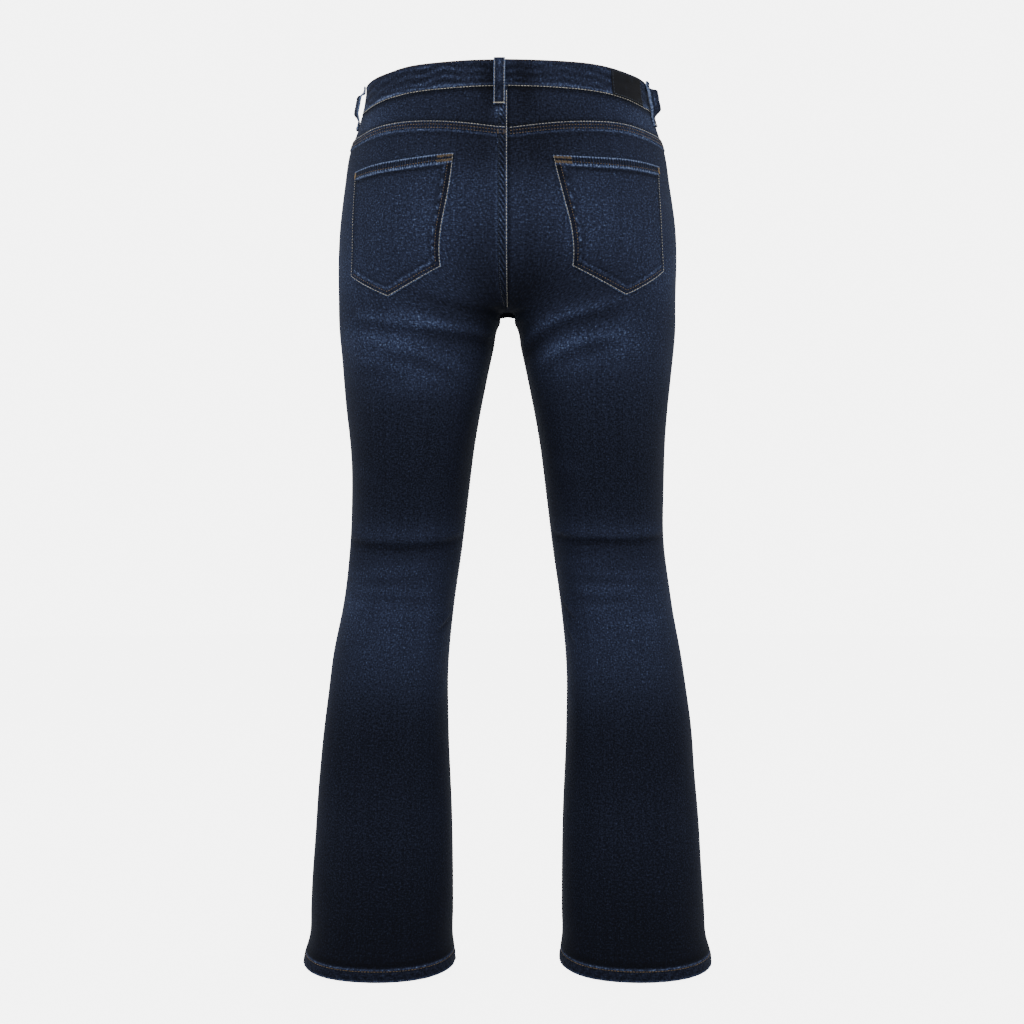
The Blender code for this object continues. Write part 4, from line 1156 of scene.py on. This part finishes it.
for side in (1, -1):
    u = np.linspace(0.004, 0.9995, 700)
    band_rows.append(band_row(side, u, 0.050))
    front_rows.append(band_row(side, u, 0.965))
    turn = np.linspace(0.02, math.pi / 2 - 0.02, 200)
    for inset in (0.0022, 0.0085):
        u = 0.5 - (SCOOP_WIDTH + inset / 0.5) * np.cos(turn) - 0.002
        waist = curve(SEAMS, "waist", u, "u")
        z = waist + (-0.0850 - inset * 1.1 - waist) * np.sin(turn)
        front_rows.append(row_on(side, u, z))
FLY_WIDTH = 0.036
FLY_TOP = -0.032
FLY_BEND = -0.118
turn = np.linspace(0.0, 1.0, 240)
bend = math.pi / 2 * np.clip((turn - 0.72) / 0.28, 0, 1)
z = np.where(turn < 0.72, FLY_TOP + (FLY_BEND - FLY_TOP) * turn / 0.72, FLY_BEND - FLY_WIDTH * np.sin(bend))
for inset in (0.0, 0.0062):
    half = FLY_WIDTH * np.cos(bend) - inset
    keep = half > 0.0008
    front_rows.append(row_on(1, round_leg(half, 0.03, z)[keep], z[keep]))
z = np.linspace(-0.030, -0.236, 260)
front_rows.append(row_on(1, round_leg(0.0014, 0.002, z), z))
stitches(band_rows, "thread_waist_seam", ecru_thread, 0.00038)
stitches(front_rows, "thread_fronts", tan_thread)

for name, side, u, foot, twist in LOOPS:
    along = np.linspace(0.01, 0.985, 120)
    for edge in (-0.82, 0.82):
        under, normal = loop_face(side, u, foot, twist, along, np.full_like(along, edge))
        normals = np.broadcast_to(normal, under.shape)
        rows = dark_rows if "side" in name else loop_rows
        rows.append((under + normals * (LOOP_CLOTH + 0.00005), normals, STITCH, STITCH_GAP))
    under, normal = loop_face(side, u, foot, twist, np.full(2, 0.972), np.array([-1.02, 1.02]))
    normals = np.broadcast_to(normal, under.shape)
    loop_rows += tack(under + normals * (LOOP_CLOTH + 0.0002), normals, 0.0018, 24)
stitches(loop_rows, "thread_loops_ecru", ecru_thread, FINE)
stitches(dark_rows, "thread_loops_indigo", indigo_thread, FINE)
stitches(tacks, "bar_tacks", tan_thread, FINE)

across = np.linspace(PATCH_U[0] + 0.004, PATCH_U[1] - 0.004, 60)
up = np.linspace(0.11, 0.91, 20)
patch_rows = [band_row(-1, u, share, PATCH_LEATHER + 0.0002)
              for u, share in ((across, 0.11), (across, 0.91), (across[0], up), (across[-1], up))]
stitches(patch_rows, "thread_patch", indigo_thread)


# Zip: woven cotton tape with two rows of brass teeth and a slider, closed under the fly's lap.
zip_tape = new_material("zip_tape")
tape_place = add(zip_tape, "TexCoord")
ribs = add(zip_tape, "TexWave", {"Vector": tape_place.outputs["Object"], "Scale": 320.0, "Distortion": 0.5},
           bands_direction="Z")
dyed = add(zip_tape, "ValToRGB", {"Fac": ribs.outputs["Fac"]}, stops=((0.2, "#12151F"), (0.8, "#262D40")))
rib_bump = add(zip_tape, "Bump", {"Strength": 0.5, "Distance": 0.0002, "Height": ribs.outputs["Fac"]})
add(zip_tape, "BsdfPrincipled", {"Base Color": dyed.outputs["Color"], "Roughness": 0.9,
                                 "Normal": rib_bump.outputs[0]})

# Aged brass: stamped and tumbled, so it is warm, half dull and darker in its hollows.
aged_brass = new_material("aged_brass")
metal = add(aged_brass, "TexCoord")
tarnish = add(aged_brass, "TexNoise", {"Vector": metal.outputs["Object"], "Scale": 420.0, "Detail": 4.0})
brass = add(aged_brass, "ValToRGB", {"Fac": tarnish.outputs["Fac"]}, stops=(
    (0.30, "#5C4526"), (0.55, "#8A6B3E"), (0.75, "#A98A58")))
dull = add(aged_brass, "MapRange", {"Value": tarnish.outputs["Fac"], "To Min": 0.32, "To Max": 0.5})
dents = add(aged_brass, "Bump", {"Strength": 0.2, "Distance": 0.0001, "Height": tarnish.outputs["Fac"]})
add(aged_brass, "BsdfPrincipled", {"Base Color": brass.outputs["Color"], "Metallic": 1.0,
                                   "Roughness": dull.outputs[0], "Normal": dents.outputs[0]})

for name, finish in (("zip", zip_tape), ("zip_slider", aged_brass), ("button", aged_brass)):
    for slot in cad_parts[name].material_slots:
        slot.material = finish

TEETH = 34
TOOTH_STEP = 0.0020
TOOTH_HALF = (0.0022, 0.0005, 0.0006)
TOOTH_CORNERS = np.array([[x, y, z] for x in (-1, 1) for y in (-1, 1) for z in (-1, 1)]) * TOOTH_HALF
TOOTH_FACES = np.array([(0, 1, 3, 2), (4, 6, 7, 5), (0, 4, 5, 1), (2, 3, 7, 6), (0, 2, 6, 4), (1, 5, 7, 3)])
teeth_points, teeth_faces = [], []
for k in range(TEETH):
    z = -0.0640 - k * TOOTH_STEP
    reach = 0.0012 if k % 2 else -0.0012
    teeth_points.append(surface(0.0, z) - 0.0026 * outward(0.0, z)[0] + [reach, 0, 0] + TOOTH_CORNERS)
    teeth_faces.append(TOOTH_FACES + 8 * k)
teeth = fill_mesh("zip_teeth", np.concatenate(teeth_points), np.concatenate(teeth_faces), (aged_brass,), 30)


# Studio: a pale floor just under the hems, a pale surround that lights the outer edges, and soft boxes.
floor_paint = new_material("floor_paint")
paint = add(floor_paint, "BsdfPrincipled",
            {"Base Color": linear("#F4F4F4"), "Roughness": 0.9, "Specular IOR Level": 0.1})
bright = add(floor_paint, "Emission", {"Strength": 9.35})
rays = add(floor_paint, "LightPath")
share = add(floor_paint, "Math", {0: rays.outputs["Is Camera Ray"], 1: 0.6}, operation="MULTIPLY")
exposed = add(floor_paint, "MixShader", {0: share.outputs[0], 1: paint.outputs[0], 2: bright.outputs[0]})
shown = floor_paint.node_tree.nodes["Material Output"]
floor_paint.node_tree.links.new(exposed.outputs[0], shown.inputs["Surface"])
FLOOR = -1.0175
angles = 2 * math.pi * np.arange(96) / 96
disc = np.stack([7 * np.cos(angles), 7 * np.sin(angles), np.full(96, FLOOR)], -1)
mesh = bpy.data.meshes.new("studio_floor")
mesh.from_pydata(disc.tolist(), [], [list(range(96))])
mesh.materials.append(floor_paint)
floor = bpy.data.objects.new("studio_floor", mesh)
bpy.context.scene.collection.objects.link(floor)

world = bpy.context.scene.world or bpy.data.worlds.new("studio")
bpy.context.scene.world = world
world.use_nodes = True
seen = add(world, "Background", {"Color": linear("#FFFFFF"), "Strength": 6.0})
glow = add(world, "Background", {"Color": linear("#FFFFFF"), "Strength": 0.68})
rays = add(world, "LightPath")
both = add(world, "MixShader", {0: rays.outputs["Is Camera Ray"], 1: glow.outputs[0], 2: seen.outputs[0]})
world.node_tree.links.new(both.outputs[0], world.node_tree.nodes["World Output"].inputs["Surface"])

SOFT_BOXES = table(
    "x y z size power",
    (0.9, 2.4, 1.6, 1.6, 31.0),
    (-1.1, 2.3, 1.3, 1.6, 24.0),
    (0.2, -2.4, 1.5, 1.8, 30.0),
    (2.4, 0.0, 0.6, 1.4, 10.0),
    (-2.4, 0.1, 0.6, 1.4, 10.0))
for k, (x, y, z, size, power) in enumerate(zip(*SOFT_BOXES.values())):
    lamp = bpy.data.lights.new(f"soft_box_{k}", "AREA")
    lamp.shape, lamp.size, lamp.energy = "SQUARE", size, power
    holder = bpy.data.objects.new(f"soft_box_{k}", lamp)
    bpy.context.scene.collection.objects.link(holder)
    holder.location = (x, y, z)
    aim = np.array([-x, -y, -0.5 - z])
    holder.rotation_euler = (math.acos(-aim[2] / np.linalg.norm(aim)), 0, math.atan2(-aim[0], aim[1]))

# Camera level with the middle of the jeans and 2.5 m behind them, where a pixel spans 1.17 mm.
VIEW_DISTANCE = 2.5
PIXEL = 0.00117
lens = bpy.data.cameras.new("camera")
lens.sensor_width = 36.0
lens.lens = lens.sensor_width * VIEW_DISTANCE / (1024 * PIXEL)
camera = bpy.data.objects.new("camera", lens)
bpy.context.scene.collection.objects.link(camera)
camera.location = (-0.0053, VIEW_DISTANCE, -0.48087)
camera.rotation_euler = (math.pi / 2, 0.0, math.pi)
bpy.context.scene.camera = camera
